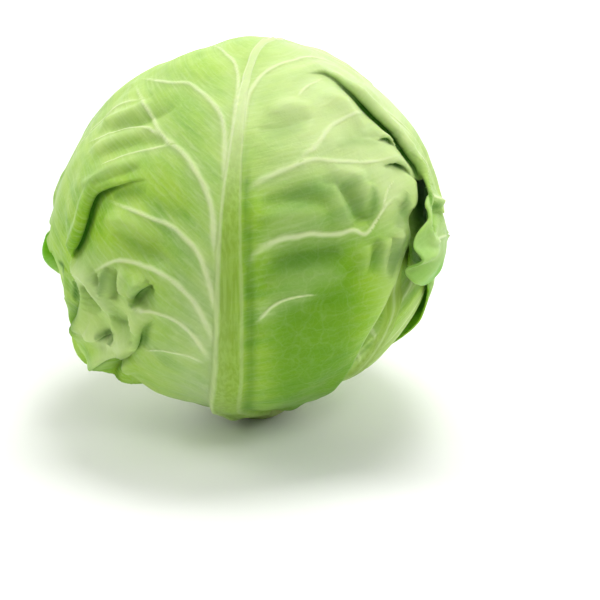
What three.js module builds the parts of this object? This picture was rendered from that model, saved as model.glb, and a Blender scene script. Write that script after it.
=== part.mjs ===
// A whole head of white cabbage, as cut and sold, resting on its cut stalk.
// Millimetres, +Z up, origin in the middle of the stalk's cut face, the front leaf facing -Y.
// Six wrapper leaves lie over each other round a heart of packed inner leaves. Each leaf is a thin closed
// blade that starts beside the stalk, runs up one side of the head and laps over the crown.

import * as THREE from "three";
import { mergeVertices } from "three/addons/utils/BufferGeometryUtils.js";

const { degToRad, radToDeg, clamp, lerp, smoothstep } = THREE.MathUtils;

// Driving dimensions of the head
const heartRadius = 79; // half the width of the packed inner leaves
const heartHalfHeight = 75.5; // from its middle down
const crownHalfHeight = 70.5; // and up, flatter where the most leaves lie over each other
const centreHeight = 86.8; // middle of the heart above the stalk's cut face
const stalkRadius = 16.5;
const stalkClearance = 0.6; // between the stalk and the ends of the leaf ribs
const stalkGap = 0.4; // between the top of the stalk and the heart
const stalkWaist = 0.3;
const stalkLobing = 0.025; // how far its five furrows are drawn in, as a share of its radius
const cutEdgeRound = 1;
const undersideDimple = 10; // how far the underside is drawn in towards the stalk
const undersideDimpleWidth = 30; // degrees from the lowest point

// Driving dimensions of a wrapper leaf
const bladeThickness = 1.1;
const layerStep = 2.6; // from the inside of one leaf to the inside of the leaf that lies over it
const firstLayer = 1.9; // from the heart to the innermost wrapper leaf
const outerRadius = heartRadius + 9; // the head with all its leaves
const midribBend = [120, 190]; // degrees along the leaf between which a midrib leans over to one side
const ribWidthAtBase = 30;
const ribHeightAtBase = 7.2; // of the front leaf, the only one whose midrib lies free
const lowerRibHeightAtBase = 4;
const ribFade = 90; // degrees along the leaf over which the midrib shrinks to a third
const ribCrownShare = 0.2; // of the midrib's width: from its middle to where it starts to fall away
const ribFootShare = 0.62; // of the midrib's width: from its middle to where it runs out in the blade
const coveredRibHeight = 0.5; // what is left of a rib where another leaf lies on it
const sideRibHeight = 2.6;
const sideRibWidth = 9;
const sideRibBend = 0.22; // how far across a side rib is when it is half bent
const pleatRunIn = 0.3; // share of its length over which a pleat rises to its full height
const edgeWaves = 4.2; // in and out waves of an edge for every radian along the leaf
const marginFade = 11; // degrees from the edge over which the waves of the edge die out
const seatMargin = 8; // past its edge, to which a leaf still lifts what lies over it
const pressMargin = 14; // past its edge, to which it presses flat what lies under it
const coverFade = 34; // over which both then die out

const stalkTop = centreHeight - heartHalfHeight + undersideDimple + 2;

// Colours read from the photograph
const paleLeafGreen = 0xa5c96b;
const leafGreen = 0x8fbb4f;
const innerLeafGreen = 0xc9dd95;
const stalkCream = 0xe6e8c4;

// A smooth curve through a few [position, value] points, flat beyond the first and the last.
function curveThrough(points, x) {
  const last = points.length - 1;
  if (x <= points[0][0]) return points[0][1];
  if (x >= points[last][0]) return points[last][1];
  const k = points.findIndex(([position]) => position > x) - 1;
  const slope = (i) => {
    const a = points[Math.max(i - 1, 0)];
    const b = points[Math.min(i + 1, last)];
    return (b[1] - a[1]) / (b[0] - a[0]);
  };
  const width = points[k + 1][0] - points[k][0];
  const f = (x - points[k][0]) / width;
  const g = 1 - f;
  return (
    g * g * (1 + 2 * f) * points[k][1] +
    f * f * (3 - 2 * f) * points[k + 1][1] +
    f * g * width * (g * slope(k) - f * slope(k + 1))
  );
}

// Where the surface of the heart lies in a direction from its middle, with the soft swells that
// every leaf over it follows.
function heartSurface(direction) {
  const { x, y, z } = direction;
  const halfHeight = z > 0 ? crownHalfHeight : heartHalfHeight;
  const ellipsoid = 1 / Math.hypot(Math.hypot(x, y) / heartRadius, z / halfHeight);
  const fromBottom = radToDeg(Math.acos(clamp(-z, -1, 1)));
  const dimple = undersideDimple * Math.exp(-((fromBottom / undersideDimpleWidth) ** 2));
  const swell =
    0.9 * Math.sin(3.1 * x + 1.2 * z + 0.6) * Math.sin(2.7 * y + 0.9) +
    0.6 * Math.sin(6.3 * z - 2.2 * x + 1.9) * Math.sin(5.2 * x + 3.4 * y);
  return ellipsoid - dimple + swell;
}

// A point of a leaf is given by two angles, in degrees: along the leaf, from the bottom of the head (0) over
// the side (90) to the crown (180) and beyond, and across it, to the right of its middle plane.
function leafDirection(leaf, along, across) {
  const turn = degToRad(leaf.azimuth);
  const u = degToRad(along);
  const v = degToRad(across);
  const forward = Math.cos(v) * Math.sin(u);
  return new THREE.Vector3(
    Math.cos(turn) * Math.sin(v) + Math.sin(turn) * forward,
    Math.sin(turn) * Math.sin(v) - Math.cos(turn) * forward,
    -Math.cos(v) * Math.cos(u),
  );
}

function leafAngles(leaf, direction) {
  const turn = degToRad(leaf.azimuth);
  const side = Math.cos(turn) * direction.x + Math.sin(turn) * direction.y;
  const forward = Math.sin(turn) * direction.x - Math.cos(turn) * direction.y;
  const along = radToDeg(Math.atan2(forward, -direction.z));
  return {
    along: along < -90 ? along + 360 : along,
    across: radToDeg(Math.asin(clamp(side, -1, 1))),
  };
}

const midribAcross = (leaf, along) => leaf.lean * smoothstep(along, ...midribBend);
const rightEdge = (leaf, along) => curveThrough(leaf.right, along);
const leftEdge = (leaf, along) => curveThrough(leaf.left, along);
const outerRightEdge = (leaf, along) => curveThrough(leaf.reach ?? leaf.right, along);

// A line on the head through [along, across] points of a leaf.
const lineOnHead = (leaf, points) =>
  points.map(([along, across]) => leafDirection(leaf, along, across).multiplyScalar(outerRadius));

// Nearest point of a line on the head: how far it is, on which side of the line, and how far along the line
// it lies, from 0 to 1. Lengths are in millimetres on the head.
function nearestOn(points, direction) {
  const here = direction.clone().multiplyScalar(outerRadius);
  const best = { distance: Infinity, side: 1, share: 0 };
  for (let i = 0; i + 1 < points.length; i += 1) {
    const run = points[i + 1].clone().sub(points[i]);
    const from = here.clone().sub(points[i]);
    const f = clamp(from.dot(run) / run.lengthSq(), 0, 1);
    const away = from.clone().addScaledVector(run, -f);
    if (away.length() < best.distance) {
      best.distance = away.length();
      best.side = Math.sign(run.clone().cross(from).dot(direction)) || 1;
      best.share = (i + f) / (points.length - 1);
    }
  }
  return best;
}

// The outline of a leaf on the head: up one edge, over the tip and down the other edge.
function outlineOf(leaf) {
  const shares = Array.from({ length: 15 }, (_, k) => k / 14);
  const left = shares.map((f) => [f * leaf.tip, leftEdge(leaf, f * leaf.tip)]);
  const right = shares.map((f) => [f * leaf.tip, outerRightEdge(leaf, f * leaf.tip)]);
  const tip = shares.map((f) => [leaf.tip, lerp(left.at(-1)[1], right.at(-1)[1], f)]);
  return lineOnHead(leaf, [...left, ...tip, ...right.reverse(), left[0]]);
}

// 1 where the leaf lies in a direction and up to a margin past its edge, falling to 0 beyond that.
function covers(leaf, direction, margin) {
  const { along, across } = leafAngles(leaf, direction);
  const withinLength = along >= 0 && along <= leaf.tip;
  const withinWidth = across >= leftEdge(leaf, along) && across <= outerRightEdge(leaf, along);
  if (withinLength && withinWidth) return 1;
  leaf.outline ??= outlineOf(leaf);
  return 1 - smoothstep(nearestOn(leaf.outline, direction).distance, margin, margin + coverFade);
}

// Where the inner face of a leaf lies: on the heart, one step further out for every leaf between them.
const insideRadius = (direction, leavesBeneath) =>
  heartSurface(direction) +
  firstLayer +
  layerStep * leavesBeneath.reduce((sum, leaf) => sum + covers(leaf, direction, seatMargin), 0);

// A pleat is a ridge that is steep on one side and slopes away slowly on the other.
function pleatHeight(pleat, direction) {
  const { distance, side, share } = nearestOn(pleat.points, direction);
  const steep = side !== pleat.gentleSide;
  const profile = steep
    ? 1 - smoothstep(distance, 0, pleat.steepWidth)
    : 1 - smoothstep(distance, 0, pleat.gentleWidth);
  return pleat.height * profile * smoothstep(share, 0, pleatRunIn);
}

// Side ribs leave the midrib almost along it and bend away to the edge.
function sideRibLine(leaf, { start, end, across }) {
  return [0, 0.25, 0.5, 0.75, 1].map((f) => {
    const along = lerp(start, end, f);
    const away = 2 * f * (1 - f) * sideRibBend * across + f * f * across;
    return [along, midribAcross(leaf, along) + away];
  });
}

function ribHeight(leaf, ribLines, along, across, direction, covered) {
  const shrunk = Math.exp(-Math.max(along, 0) / ribFade);
  const width = ribWidthAtBase * shrunk;
  const fromRib = Math.abs(degToRad(across - midribAcross(leaf, along))) * outerRadius;
  const outwards = smoothstep(fromRib, ribCrownShare * width, ribFootShare * width);
  const midrib = leaf.ribHeight * shrunk * (1 - outwards);
  const side = ribLines.map((line) => {
    const { distance, share } = nearestOn(line, direction);
    return sideRibHeight * (1 - 0.5 * share) * (1 - smoothstep(distance, 0, sideRibWidth));
  });
  const height = Math.max(midrib, ...side);
  return lerp(height, Math.min(coveredRibHeight, height), covered);
}

// How far the blade stands off the leaf below: its pleats, the waves of its edge, and where its edge flares.
function bladeLift(leaf, pleats, { along, across, fromEdge, lobeShare }, direction, covered) {
  const nearEdge = 1 - smoothstep(Math.min(fromEdge, leaf.tip - along), 0, marginFade);
  const wave = leaf.wave * nearEdge * (1 + Math.sin(degToRad(along) * leaf.ripples + leaf.azimuth));
  const pleated = pleats.reduce((sum, pleat) => sum + pleatHeight(pleat, direction), 0);
  let lift = wave + pleated;
  if (leaf.flare && across < 0) {
    lift += leaf.flare.height * nearEdge * Math.exp(-(((along - leaf.flare.along) / leaf.flare.width) ** 2));
  }
  if (lobeShare !== undefined) {
    const { apex, rise, ruffle, ruffleLength } = leaf.lobe;
    const loose = 1 - smoothstep(along, apex - 20, apex + 20);
    const raised = rise * (1 - smoothstep(lobeShare, 0.4, 1.2));
    const curl = Math.sin((along / ruffleLength) * 2 * Math.PI);
    const ruffled = ruffle * (1 - smoothstep(lobeShare, 0, 0.5));
    lift += loose * (raised + ruffled * curl);
  }
  return lift * (1 - covered);
}

// The leaf as a grid of columns across and rows along. The lobe, where a leaf has one, is parted from the
// rest of the blade by a slit one column wide.
function leafGeometry(leaf, leavesAbove, leavesBeneath) {
  const { rows, columns, lobe } = leaf;
  const stalkShare = (stalkRadius + stalkClearance) / (heartHalfHeight - undersideDimple);
  const bladeColumns = lobe ? columns - lobe.columns - 1 : columns;
  const half = bladeColumns / 2;
  const pleats = leaf.pleats.map((pleat) => ({ ...pleat, points: lineOnHead(leaf, pleat.line) }));
  const ribLines = leaf.sideRibs.map((rib) => lineOnHead(leaf, sideRibLine(leaf, rib)));

  // The end of the leaf clasps the stalk: it keeps the same distance from the stalk's axis all round.
  function baseAlong(across) {
    const side = Math.sin(degToRad(across));
    const forward = Math.sqrt(Math.max(stalkShare ** 2 - side ** 2, 0));
    return radToDeg(Math.asin(forward / Math.cos(degToRad(across))));
  }

  function bladeAngles(i, j) {
    const f = i / rows;
    const sideways = j / half - 1;
    const reachAtBase = (sideways < 0 ? -leftEdge(leaf, 0) : rightEdge(leaf, 0)) * sideways;
    const tip = leaf.tip - leaf.tipRound * sideways ** 2;
    const along = lerp(baseAlong(reachAtBase), tip, f);
    const mid = midribAcross(leaf, along);
    const edge = (sideways < 0 ? leftEdge : rightEdge)(leaf, along);
    const wander = 1 + leaf.edgeWander * Math.sin(degToRad(along) * edgeWaves + leaf.azimuth);
    const across = lerp(mid, edge * wander, Math.abs(sideways));
    return { along, across, fromEdge: (1 - Math.abs(sideways)) * Math.abs(edge - mid) };
  }

  function anglesAt(i, j) {
    const blade = bladeAngles(i, Math.min(j, bladeColumns));
    if (!lobe || j < half) return blade;
    const joined = smoothstep(blade.along, lobe.apex - 6, lobe.apex + 6);
    if (j <= bladeColumns) return { ...blade, fromEdge: blade.fromEdge + 90 * joined };
    const share = (j - bladeColumns - 1) / lobe.columns;
    const slit = lobe.slit * (1 - smoothstep(blade.along, lobe.apex - 10, lobe.apex + 25)) + 1.5;
    const rounding = 1 - lobe.rounding * (2 * share - 1) ** 2;
    const below = Math.max(lobe.apex - blade.along, 0);
    return {
      along: blade.along + below * (1 - rounding),
      across: lerp(blade.across + slit, lobe.reach, share),
      fromEdge: Math.min(share, 1 - share) * (lobe.reach - blade.across) + 90 * joined,
      lobeShare: share,
    };
  }

  function isKept(i, j) {
    if (i < 0 || j < 0 || i >= rows || j >= columns) return false;
    if (!lobe || j < bladeColumns) return true;
    return bladeAngles(i, bladeColumns).along > (j === bladeColumns ? lobe.apex : lobe.foot);
  }

  const positions = [];
  for (let i = 0; i <= rows; i += 1) {
    for (let j = 0; j <= columns; j += 1) {
      const angles = anglesAt(i, j);
      const direction = leafDirection(leaf, angles.along, angles.across);
      const covered = Math.max(0, ...leavesAbove.map((above) => covers(above, direction, pressMargin)));
      const inner =
        insideRadius(direction, leavesBeneath) + bladeLift(leaf, pleats, angles, direction, covered);
      const ribs = ribHeight(leaf, ribLines, angles.along, angles.across, direction, covered);
      const outer = inner + bladeThickness + ribs;
      for (const distance of [outer, inner]) {
        const point = direction.clone().multiplyScalar(distance);
        positions.push(point.x, point.y, point.z + centreHeight);
      }
    }
  }

  const outerVertex = (i, j) => 2 * (i * (columns + 1) + j);
  const innerVertex = (i, j) => outerVertex(i, j) + 1;
  const triangles = [];
  const quad = (a, b, c, d) => triangles.push(a, b, c, a, c, d);
  const rim = ([i, j], [k, l]) =>
    quad(outerVertex(i, j), innerVertex(i, j), innerVertex(k, l), outerVertex(k, l));
  for (let i = 0; i < rows; i += 1) {
    for (let j = 0; j < columns; j += 1) {
      if (!isKept(i, j)) continue;
      const corners = [[i, j], [i, j + 1], [i + 1, j + 1], [i + 1, j]];
      quad(...corners.map((corner) => outerVertex(...corner)));
      const [a, b, c, d] = corners.map((corner) => innerVertex(...corner));
      triangles.push(a, c, b, a, d, c);
      if (!isKept(i - 1, j)) rim(corners[0], corners[1]);
      if (!isKept(i, j + 1)) rim(corners[1], corners[2]);
      if (!isKept(i + 1, j)) rim(corners[2], corners[3]);
      if (!isKept(i, j - 1)) rim(corners[3], corners[0]);
    }
  }
  return closedGeometry(positions, triangles);
}

// Only the vertices that a triangle uses, with a normal for each.
function closedGeometry(positions, triangles) {
  const geometry = new THREE.BufferGeometry();
  geometry.setAttribute("position", new THREE.Float32BufferAttribute(positions, 3));
  geometry.setIndex(triangles);
  const used = mergeVertices(geometry.toNonIndexed());
  used.computeVertexNormals();
  return used;
}

// The heart: packed inner leaves, whose edges show as low steps that wind round it.
function heartGeometry() {
  const ball = new THREE.IcosahedronGeometry(1, 6);
  ball.deleteAttribute("normal");
  ball.deleteAttribute("uv");
  const geometry = mergeVertices(ball);
  const place = geometry.getAttribute("position");
  const direction = new THREE.Vector3();
  const foldStep = 1.6; // where no leaf edge laps over
  const lapLoss = 0.25; // how much lower every next leaf lies
  const innerLeaves = [20, 157, 295, 72].map((azimuth) => ({
    azimuth,
    left: [[0, -20], [90, -62], [180, -50]],
    right: [[0, 20], [90, 62], [180, 50]],
    tip: 205,
  }));
  for (let i = 0; i < place.count; i += 1) {
    direction.fromBufferAttribute(place, i).normalize();
    const lapped = innerLeaves.map((leaf) => covers(leaf, direction, 0));
    const highest = Math.max(...lapped.map((cover, k) => cover * (1 - lapLoss * k)));
    const depth = foldStep * (1 - highest);
    direction.multiplyScalar(heartSurface(direction) - depth);
    const height = Math.max(direction.z + centreHeight, stalkTop + stalkGap);
    place.setXYZ(i, direction.x, direction.y, height);
  }
  geometry.computeVertexNormals();
  return geometry;
}

// The stalk: a short stump with a flat cut face below and five soft lobes round it.
function stalkGeometry() {
  const side = stalkRadius - 0.6;
  const profile = [
    [0, 0],
    [side - cutEdgeRound, 0],
    [side, 0.8 * cutEdgeRound],
    [side - stalkWaist, 0.5 * stalkTop],
    [side, stalkTop],
    [0, stalkTop],
  ].map(([radius, height]) => new THREE.Vector2(radius, height));
  const geometry = new THREE.LatheGeometry(profile, 30);
  geometry.rotateX(Math.PI / 2);
  const place = geometry.getAttribute("position");
  for (let i = 0; i < place.count; i += 1) {
    const angle = Math.atan2(place.getY(i), place.getX(i));
    const lobed = 1 - stalkLobing * (1 - Math.cos(5 * angle));
    place.setXYZ(i, place.getX(i) * lobed, place.getY(i) * lobed, Math.abs(place.getZ(i)));
  }
  geometry.computeVertexNormals();
  return geometry;
}

// Edges of an ordinary wrapper leaf, as [along, across] in degrees.
const broadLeft = [[13, -11], [30, -24], [60, -60], [90, -78], [150, -78], [205, -50]];
const broadRight = [[13, 11], [30, 24], [60, 60], [90, 78], [150, 78], [205, 50]];

// Side ribs by rule: pairs that leave the midrib one above the other.
const pairedRibs = [1, -1].flatMap((side) =>
  [40, 66, 92, 120].map((start, k) => ({
    start: start + (side > 0 ? 0 : 8),
    end: start + 46 + 4 * k,
    across: side * (62 - 6 * k),
  })),
);

// A leaf's edges, side ribs and pleats are given in degrees along and across it. tipRound draws the
// corners of the tip back, lean bends the midrib over at the crown, wave and edgeWander make the edge
// uneven, and ribHeight is the midrib's height at the stalk. The front leaf's right edge is torn: between
// foot and apex a ruffled lobe stands off beside a slit, out to reach. Its left edge flares away from the
// head at one place.
const frontLeaf = {
  name: "leaf_front",
  azimuth: -5,
  rows: 42,
  columns: 34,
  ribHeight: ribHeightAtBase,
  tip: 212,
  tipRound: 16,
  lean: 13,
  wave: 0.9,
  ripples: 9,
  edgeWander: 0,
  left: [[13, -12], [26, -30], [45, -60], [70, -78], [90, -83], [150, -83], [205, -55]],
  right: [[13, 12], [30, 22], [60, 36], [90, 47], [106, 51], [124, 54], [136, 54], [160, 54], [205, 40]],
  lobe: {
    columns: 7,
    apex: 136,
    foot: 70,
    slit: 6,
    reach: 88,
    rounding: 0.25,
    rise: 4,
    ruffle: 1.8,
    ruffleLength: 17,
  },
  reach: [[0, 12], [56, 40], [68, 88], [212, 88], [245, 40]],
  flare: { along: 97, width: 10, height: 6 },
  sideRibs: [
    { start: 58, end: 84, across: -34 },
    { start: 68, end: 98, across: -44 },
    { start: 78, end: 120, across: -46 },
    { start: 94, end: 172, across: -34 },
    { start: 124, end: 178, across: -30 },
    { start: 76, end: 90, across: 24 },
    { start: 94, end: 116, across: 46 },
    { start: 114, end: 138, across: 50 },
    { start: 146, end: 180, across: 26 },
  ],
  pleats: [
    {
      line: [[123, -24], [124, -33], [120, -41], [112, -44], [100, -49], [92, -57]],
      gentleSide: 1,
      height: 5.5,
      steepWidth: 5,
      gentleWidth: 26,
    },
    {
      line: [[158, 20], [163, 26], [160, 33], [156, 42], [150, 50], [141, 57], [132, 61]],
      gentleSide: -1,
      height: 6,
      steepWidth: 5,
      gentleWidth: 24,
    },
    {
      line: [[84, -30], [76, -36], [66, -40]],
      gentleSide: -1,
      height: 2.4,
      steepWidth: 6,
      gentleWidth: 14,
    },
    {
      line: [[60, -34], [54, -42], [44, -48]],
      gentleSide: -1,
      height: 2.6,
      steepWidth: 6,
      gentleWidth: 14,
    },
  ],
};

const ordinaryLeaf = {
  rows: 24,
  columns: 20,
  ribHeight: lowerRibHeightAtBase,
  tip: 200,
  tipRound: 24,
  lean: 8,
  wave: 1.2,
  ripples: 7,
  edgeWander: 0.04,
  left: broadLeft,
  right: broadRight,
  sideRibs: pairedRibs,
  pleats: [],
};

// Outermost leaf first. Every next leaf grows about 137 degrees further round the stalk.
const leaves = [
  frontLeaf,
  { ...ordinaryLeaf, name: "leaf_back_right", azimuth: 134 },
  { ...ordinaryLeaf, name: "leaf_left", azimuth: -104, lean: -8, ripples: 6 },
  { ...ordinaryLeaf, name: "leaf_front_right", azimuth: 50, rows: 18, columns: 16, tip: 176 },
  { ...ordinaryLeaf, name: "leaf_back", azimuth: 190, rows: 17, columns: 14, tip: 176, ripples: 5 },
  { ...ordinaryLeaf, name: "leaf_front_left", azimuth: -48, rows: 17, columns: 14, tip: 170 },
];

function pieceOf(name, geometry, color, roughness) {
  const mesh = new THREE.Mesh(geometry, new THREE.MeshStandardMaterial({ color, roughness, metalness: 0 }));
  mesh.name = name;
  return mesh;
}

const cabbage = new THREE.Group();
cabbage.add(pieceOf("stalk", stalkGeometry(), stalkCream, 0.8));
cabbage.add(pieceOf("heart", heartGeometry(), innerLeafGreen, 0.5));
leaves.forEach((leaf, k) => {
  const colour = k === 0 ? paleLeafGreen : leafGreen;
  const geometry = leafGeometry(leaf, leaves.slice(0, k), leaves.slice(k + 1));
  cabbage.add(pieceOf(leaf.name, geometry, colour, 0.45));
});

export default cabbage;
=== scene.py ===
# A whole head of white cabbage resting on its cut stalk, in soft studio light.
# Lengths in the modelling code are millimetres from the middle of the stalk's cut face; meshes are metres.
# A place on a leaf is two angles in degrees, seen from the middle of the head: along the leaf, from the
# bottom of the head (0) over its side (90) to the crown (180) and beyond, and across it, to its right.

import itertools
import math

import bmesh
import bpy
import numpy as np
from mathutils import Euler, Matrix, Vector


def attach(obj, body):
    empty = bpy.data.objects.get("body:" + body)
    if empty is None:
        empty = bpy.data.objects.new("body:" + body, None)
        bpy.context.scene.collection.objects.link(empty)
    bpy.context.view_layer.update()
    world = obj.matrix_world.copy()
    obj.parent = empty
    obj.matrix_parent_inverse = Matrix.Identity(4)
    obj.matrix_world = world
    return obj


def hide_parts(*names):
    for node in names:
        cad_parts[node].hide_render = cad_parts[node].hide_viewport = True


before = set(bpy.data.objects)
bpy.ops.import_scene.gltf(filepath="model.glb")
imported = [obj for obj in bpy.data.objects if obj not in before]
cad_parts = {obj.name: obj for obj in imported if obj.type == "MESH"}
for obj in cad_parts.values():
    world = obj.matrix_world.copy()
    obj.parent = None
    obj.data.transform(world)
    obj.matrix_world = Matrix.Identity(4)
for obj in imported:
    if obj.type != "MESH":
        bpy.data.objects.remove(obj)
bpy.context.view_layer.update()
print("frame loaded")

millimetre = 0.001

# The head: an ellipsoid of packed leaves, drawn in underneath, with soft swells that every leaf follows
head = {
    "radius": 79.0,
    "halfHeight": 75.5,
    "crownHalfHeight": 70.5,
    "centre": np.array([0.0, 0.0, 86.8]),
    "dimple": 10.0,
    "dimpleWidth": 30.0,  # degrees from the bottom
    "broadSwell": 0.9,
    "fineSwell": 0.6,
    "firstLayer": 1.9,
    "layerStep": 2.6,
    "lapMargin": 8.0,  # how far past its edge a leaf still lifts the next one in full
    "lapFade": 34.0,  # and over how much more it lets it down
    "outerRadius": 88.0,
    "room": 3.6,
    "roomFrom": 4.0,  # inwards from the front leaf's edge
    "roomTo": 16.0,
}
stalkClearance = 17.1

# How the photograph was taken: from this height, this far from the middle of the head, which shows at this
# pixel of its 600 by 600
view = {
    "elevation": 18.0,
    "distance": 758.0,
    "lens": 100.0,
    "sensor": 36.0,
    "frame": 600,
    "seenRadius": 90.0,
    "seenCrown": 86.5,
    "seenFoot": 86.5,
    "headPixel": (253.5, 231.0),
}


# Curves, distances and noise

def smooth(x, low, high):
    f = np.clip((x - low) / (high - low), 0, 1)
    return f * f * (3 - 2 * f)


# A smooth curve through (place, value) points, level past its ends
def curveThrough(points, x):
    places, values = np.array(points, float).T
    x = np.clip(x, places[0], places[-1])
    k = np.clip(np.searchsorted(places, x, side="right") - 1, 0, len(places) - 2)
    ahead = np.minimum(np.arange(len(places)) + 1, len(places) - 1)
    behind = np.maximum(np.arange(len(places)) - 1, 0)
    slopes = (values[ahead] - values[behind]) / (places[ahead] - places[behind])
    width = places[k + 1] - places[k]
    f = (x - places[k]) / width
    g = 1 - f
    ends = g * g * (1 + 2 * f) * values[k] + f * f * (3 - 2 * f) * values[k + 1]
    return ends + f * g * width * (g * slopes[k] - f * slopes[k + 1])


def unit(vectors):
    return vectors / np.linalg.norm(vectors, axis=-1, keepdims=True)


# Soft lumps of about one size, between -1 and 1, from random values on a lattice that repeats
def lumps(points, size, seed):
    period = 24
    lattice = np.random.default_rng(seed).uniform(-1, 1, (period, period, period))
    q = points / size + 10 * period
    cell = np.floor(q).astype(int)
    f = q - cell
    f = f * f * (3 - 2 * f)
    total = np.zeros(len(points))
    for corner in itertools.product((0, 1), repeat=3):
        weight = np.prod(np.where(corner, f, 1 - f), axis=1)
        total += weight * lattice[tuple(((cell + corner) % period).T)]
    return total


def layeredLumps(points, layers, seed=0):
    return sum(height * lumps(points, size, seed + own) for height, size, own in layers)


lineShape = {
    "step": 1.2,  # millimetres between its points
    "steadyOver": 9.0,  # and over which its broad direction is averaged
}


def denseLine(points):
    points = np.asarray(points, float)
    padded = np.vstack([2 * points[0] - points[1], points, 2 * points[-1] - points[-2]])
    pieces = []
    for a, b, c, d in zip(padded, padded[1:], padded[2:], padded[3:]):
        count = max(2, int(np.linalg.norm(c - b) / lineShape["step"]))
        f = np.linspace(0, 1, count, endpoint=False)[:, None]
        bend = (c - a) * f + (2 * a - 5 * b + 4 * c - d) * f**2 + (3 * b - a - 3 * c + d) * f**3
        pieces.append(b + 0.5 * bend)
    return unit(np.vstack([*pieces, points[-1:]]))


# A line on the head, through unit directions from its centre
class Line:
    def __init__(self, points):
        self.points = denseLine(np.asarray(points, float) * head["outerRadius"])
        tangents = unit(np.gradient(self.points, axis=0))
        self.sideways = unit(np.cross(tangents, self.points))
        steps = np.linalg.norm(np.diff(self.points, axis=0), axis=1)
        run = np.r_[0, np.cumsum(steps)]
        apart = (run[:, None] - run[None, :]) * head["outerRadius"]
        weight = np.exp(-((apart / lineShape["steadyOver"]) ** 2))
        self.broadSideways = unit(weight @ self.sideways)
        self.share = run / run[-1]

    # For each direction: how far it is from the line, how far to its side, the share of the line's length at
    # which it is nearest, and the line's broad sideways direction there
    def nearest(self, directions):
        k = np.argmax(directions @ self.points.T, axis=1)
        away = (directions - self.points[k]) * head["outerRadius"]
        side = np.einsum("ij,ij->i", away, self.sideways[k])
        atEnd = (k == 0) | (k == len(self.points) - 1)
        distance = np.where(atEnd, np.linalg.norm(away, axis=1), np.abs(side))
        return distance, side, self.share[k], self.broadSideways[k]


# Leaf angles and directions

def leafDirection(azimuth, along, across):
    turn = math.radians(azimuth)
    u = np.radians(along)
    v = np.radians(across)
    forward = np.cos(v) * np.sin(u)
    x = math.cos(turn) * np.sin(v) + math.sin(turn) * forward
    y = math.sin(turn) * np.sin(v) - math.cos(turn) * forward
    return np.stack([x, y, -np.cos(v) * np.cos(u)], axis=-1)


def leafAngles(azimuth, directions):
    turn = math.radians(azimuth)
    side = math.cos(turn) * directions[:, 0] + math.sin(turn) * directions[:, 1]
    forward = math.sin(turn) * directions[:, 0] - math.cos(turn) * directions[:, 1]
    along = np.degrees(np.arctan2(forward, -directions[:, 2]))
    along = np.where(along < -90, along + 360, along)
    return along, np.degrees(np.arcsin(np.clip(side, -1, 1)))


# Edges of the leaves, as in the frame: [along, across] points of the left and the right edge
broadLeft = [(13, -11), (30, -24), (60, -60), (90, -78), (150, -78), (205, -50)]
broadRight = [(13, 11), (30, 24), (60, 60), (90, 78), (150, 78), (205, 50)]
ordinary = {
    "tip": 200,
    "tipRound": 24,
    "lean": 8,
    "ripples": 7,
    "wander": 0.04,
    "left": broadLeft,
    "right": broadRight,
    "reach": broadRight,
}
leaves = [
    {
        **ordinary,
        "name": "leaf_front",
        "azimuth": -5,
        "tip": 212,
        "tipRound": 16,
        "lean": 13,
        "ripples": 9,
        "wander": 0.0,
        "left": [(13, -12), (26, -30), (45, -60), (70, -78), (90, -83), (150, -83), (205, -55)],
        "right": [
            (13, 12), (30, 22), (60, 36), (90, 46), (99, 49), (106, 52), (115, 51),
            (124, 54), (136, 54), (160, 54), (205, 40),
        ],
        "reach": [(0, 12), (56, 40), (68, 88), (212, 88), (245, 40)],
    },
    {**ordinary, "name": "leaf_back_right", "azimuth": 134},
    {
        **ordinary, "name": "leaf_left", "azimuth": -104, "lean": -8, "ripples": 6,
        "tongue": {
            "towards": np.array([-0.996, -0.04, -0.075]),
            "halfHeight": 13.0,
            "halfWidth": 7.0,
            "lift": 9.4,
        },
    },
    {**ordinary, "name": "leaf_front_right", "azimuth": 50, "tip": 176},
    {**ordinary, "name": "leaf_back", "azimuth": 190, "tip": 176, "ripples": 5},
    {**ordinary, "name": "leaf_front_left", "azimuth": -48, "tip": 170},
]


def midribAcross(leaf, along):
    return leaf["lean"] * smooth(along, 120, 190)


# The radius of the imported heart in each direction
def heartSurface(d):
    x, y, z = d.T
    halfHeight = np.where(z > 0, head["crownHalfHeight"], head["halfHeight"])
    ball = 1 / np.hypot(np.hypot(x, y) / head["radius"], z / halfHeight)
    fromBottom = np.degrees(np.arccos(np.clip(-z, -1, 1)))
    dimple = head["dimple"] * np.exp(-((fromBottom / head["dimpleWidth"]) ** 2))
    broad = head["broadSwell"] * np.sin(3.1 * x + 1.2 * z + 0.6) * np.sin(2.7 * y + 0.9)
    fine = head["fineSwell"] * np.sin(6.3 * z - 2.2 * x + 1.9) * np.sin(5.2 * x + 3.4 * y)
    return ball - dimple + broad + fine


def outlineOf(leaf, steps=15):
    shares = np.linspace(0, 1, steps)
    alongs = shares * leaf["tip"]
    left = curveThrough(leaf["left"], alongs)
    right = curveThrough(leaf["reach"], alongs)
    over = left[-1] + shares * (right[-1] - left[-1])
    along = np.concatenate([alongs, np.full(steps, leaf["tip"]), alongs[::-1]])
    across = np.concatenate([left, over, right[::-1]])
    places = leafDirection(leaf["azimuth"], along, across)
    apart = np.linalg.norm(np.diff(places, axis=0), axis=1) > 1e-6
    return Line(places[np.r_[True, apart]])


# 1 where the leaf lies and up to a margin past its edge, falling to 0 beyond that
def covers(leaf, d, margin, fade=head["lapFade"]):
    along, across = leafAngles(leaf["azimuth"], d)
    left = curveThrough(leaf["left"], along)
    right = curveThrough(leaf["reach"], along)
    within = (along >= 0) & (along <= leaf["tip"]) & (across >= left) & (across <= right)
    if "outline" not in leaf:
        leaf["outline"] = outlineOf(leaf)
    distance = leaf["outline"].nearest(d)[0]
    return np.where(within, 1, 1 - smooth(distance, margin, margin + fade))


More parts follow.
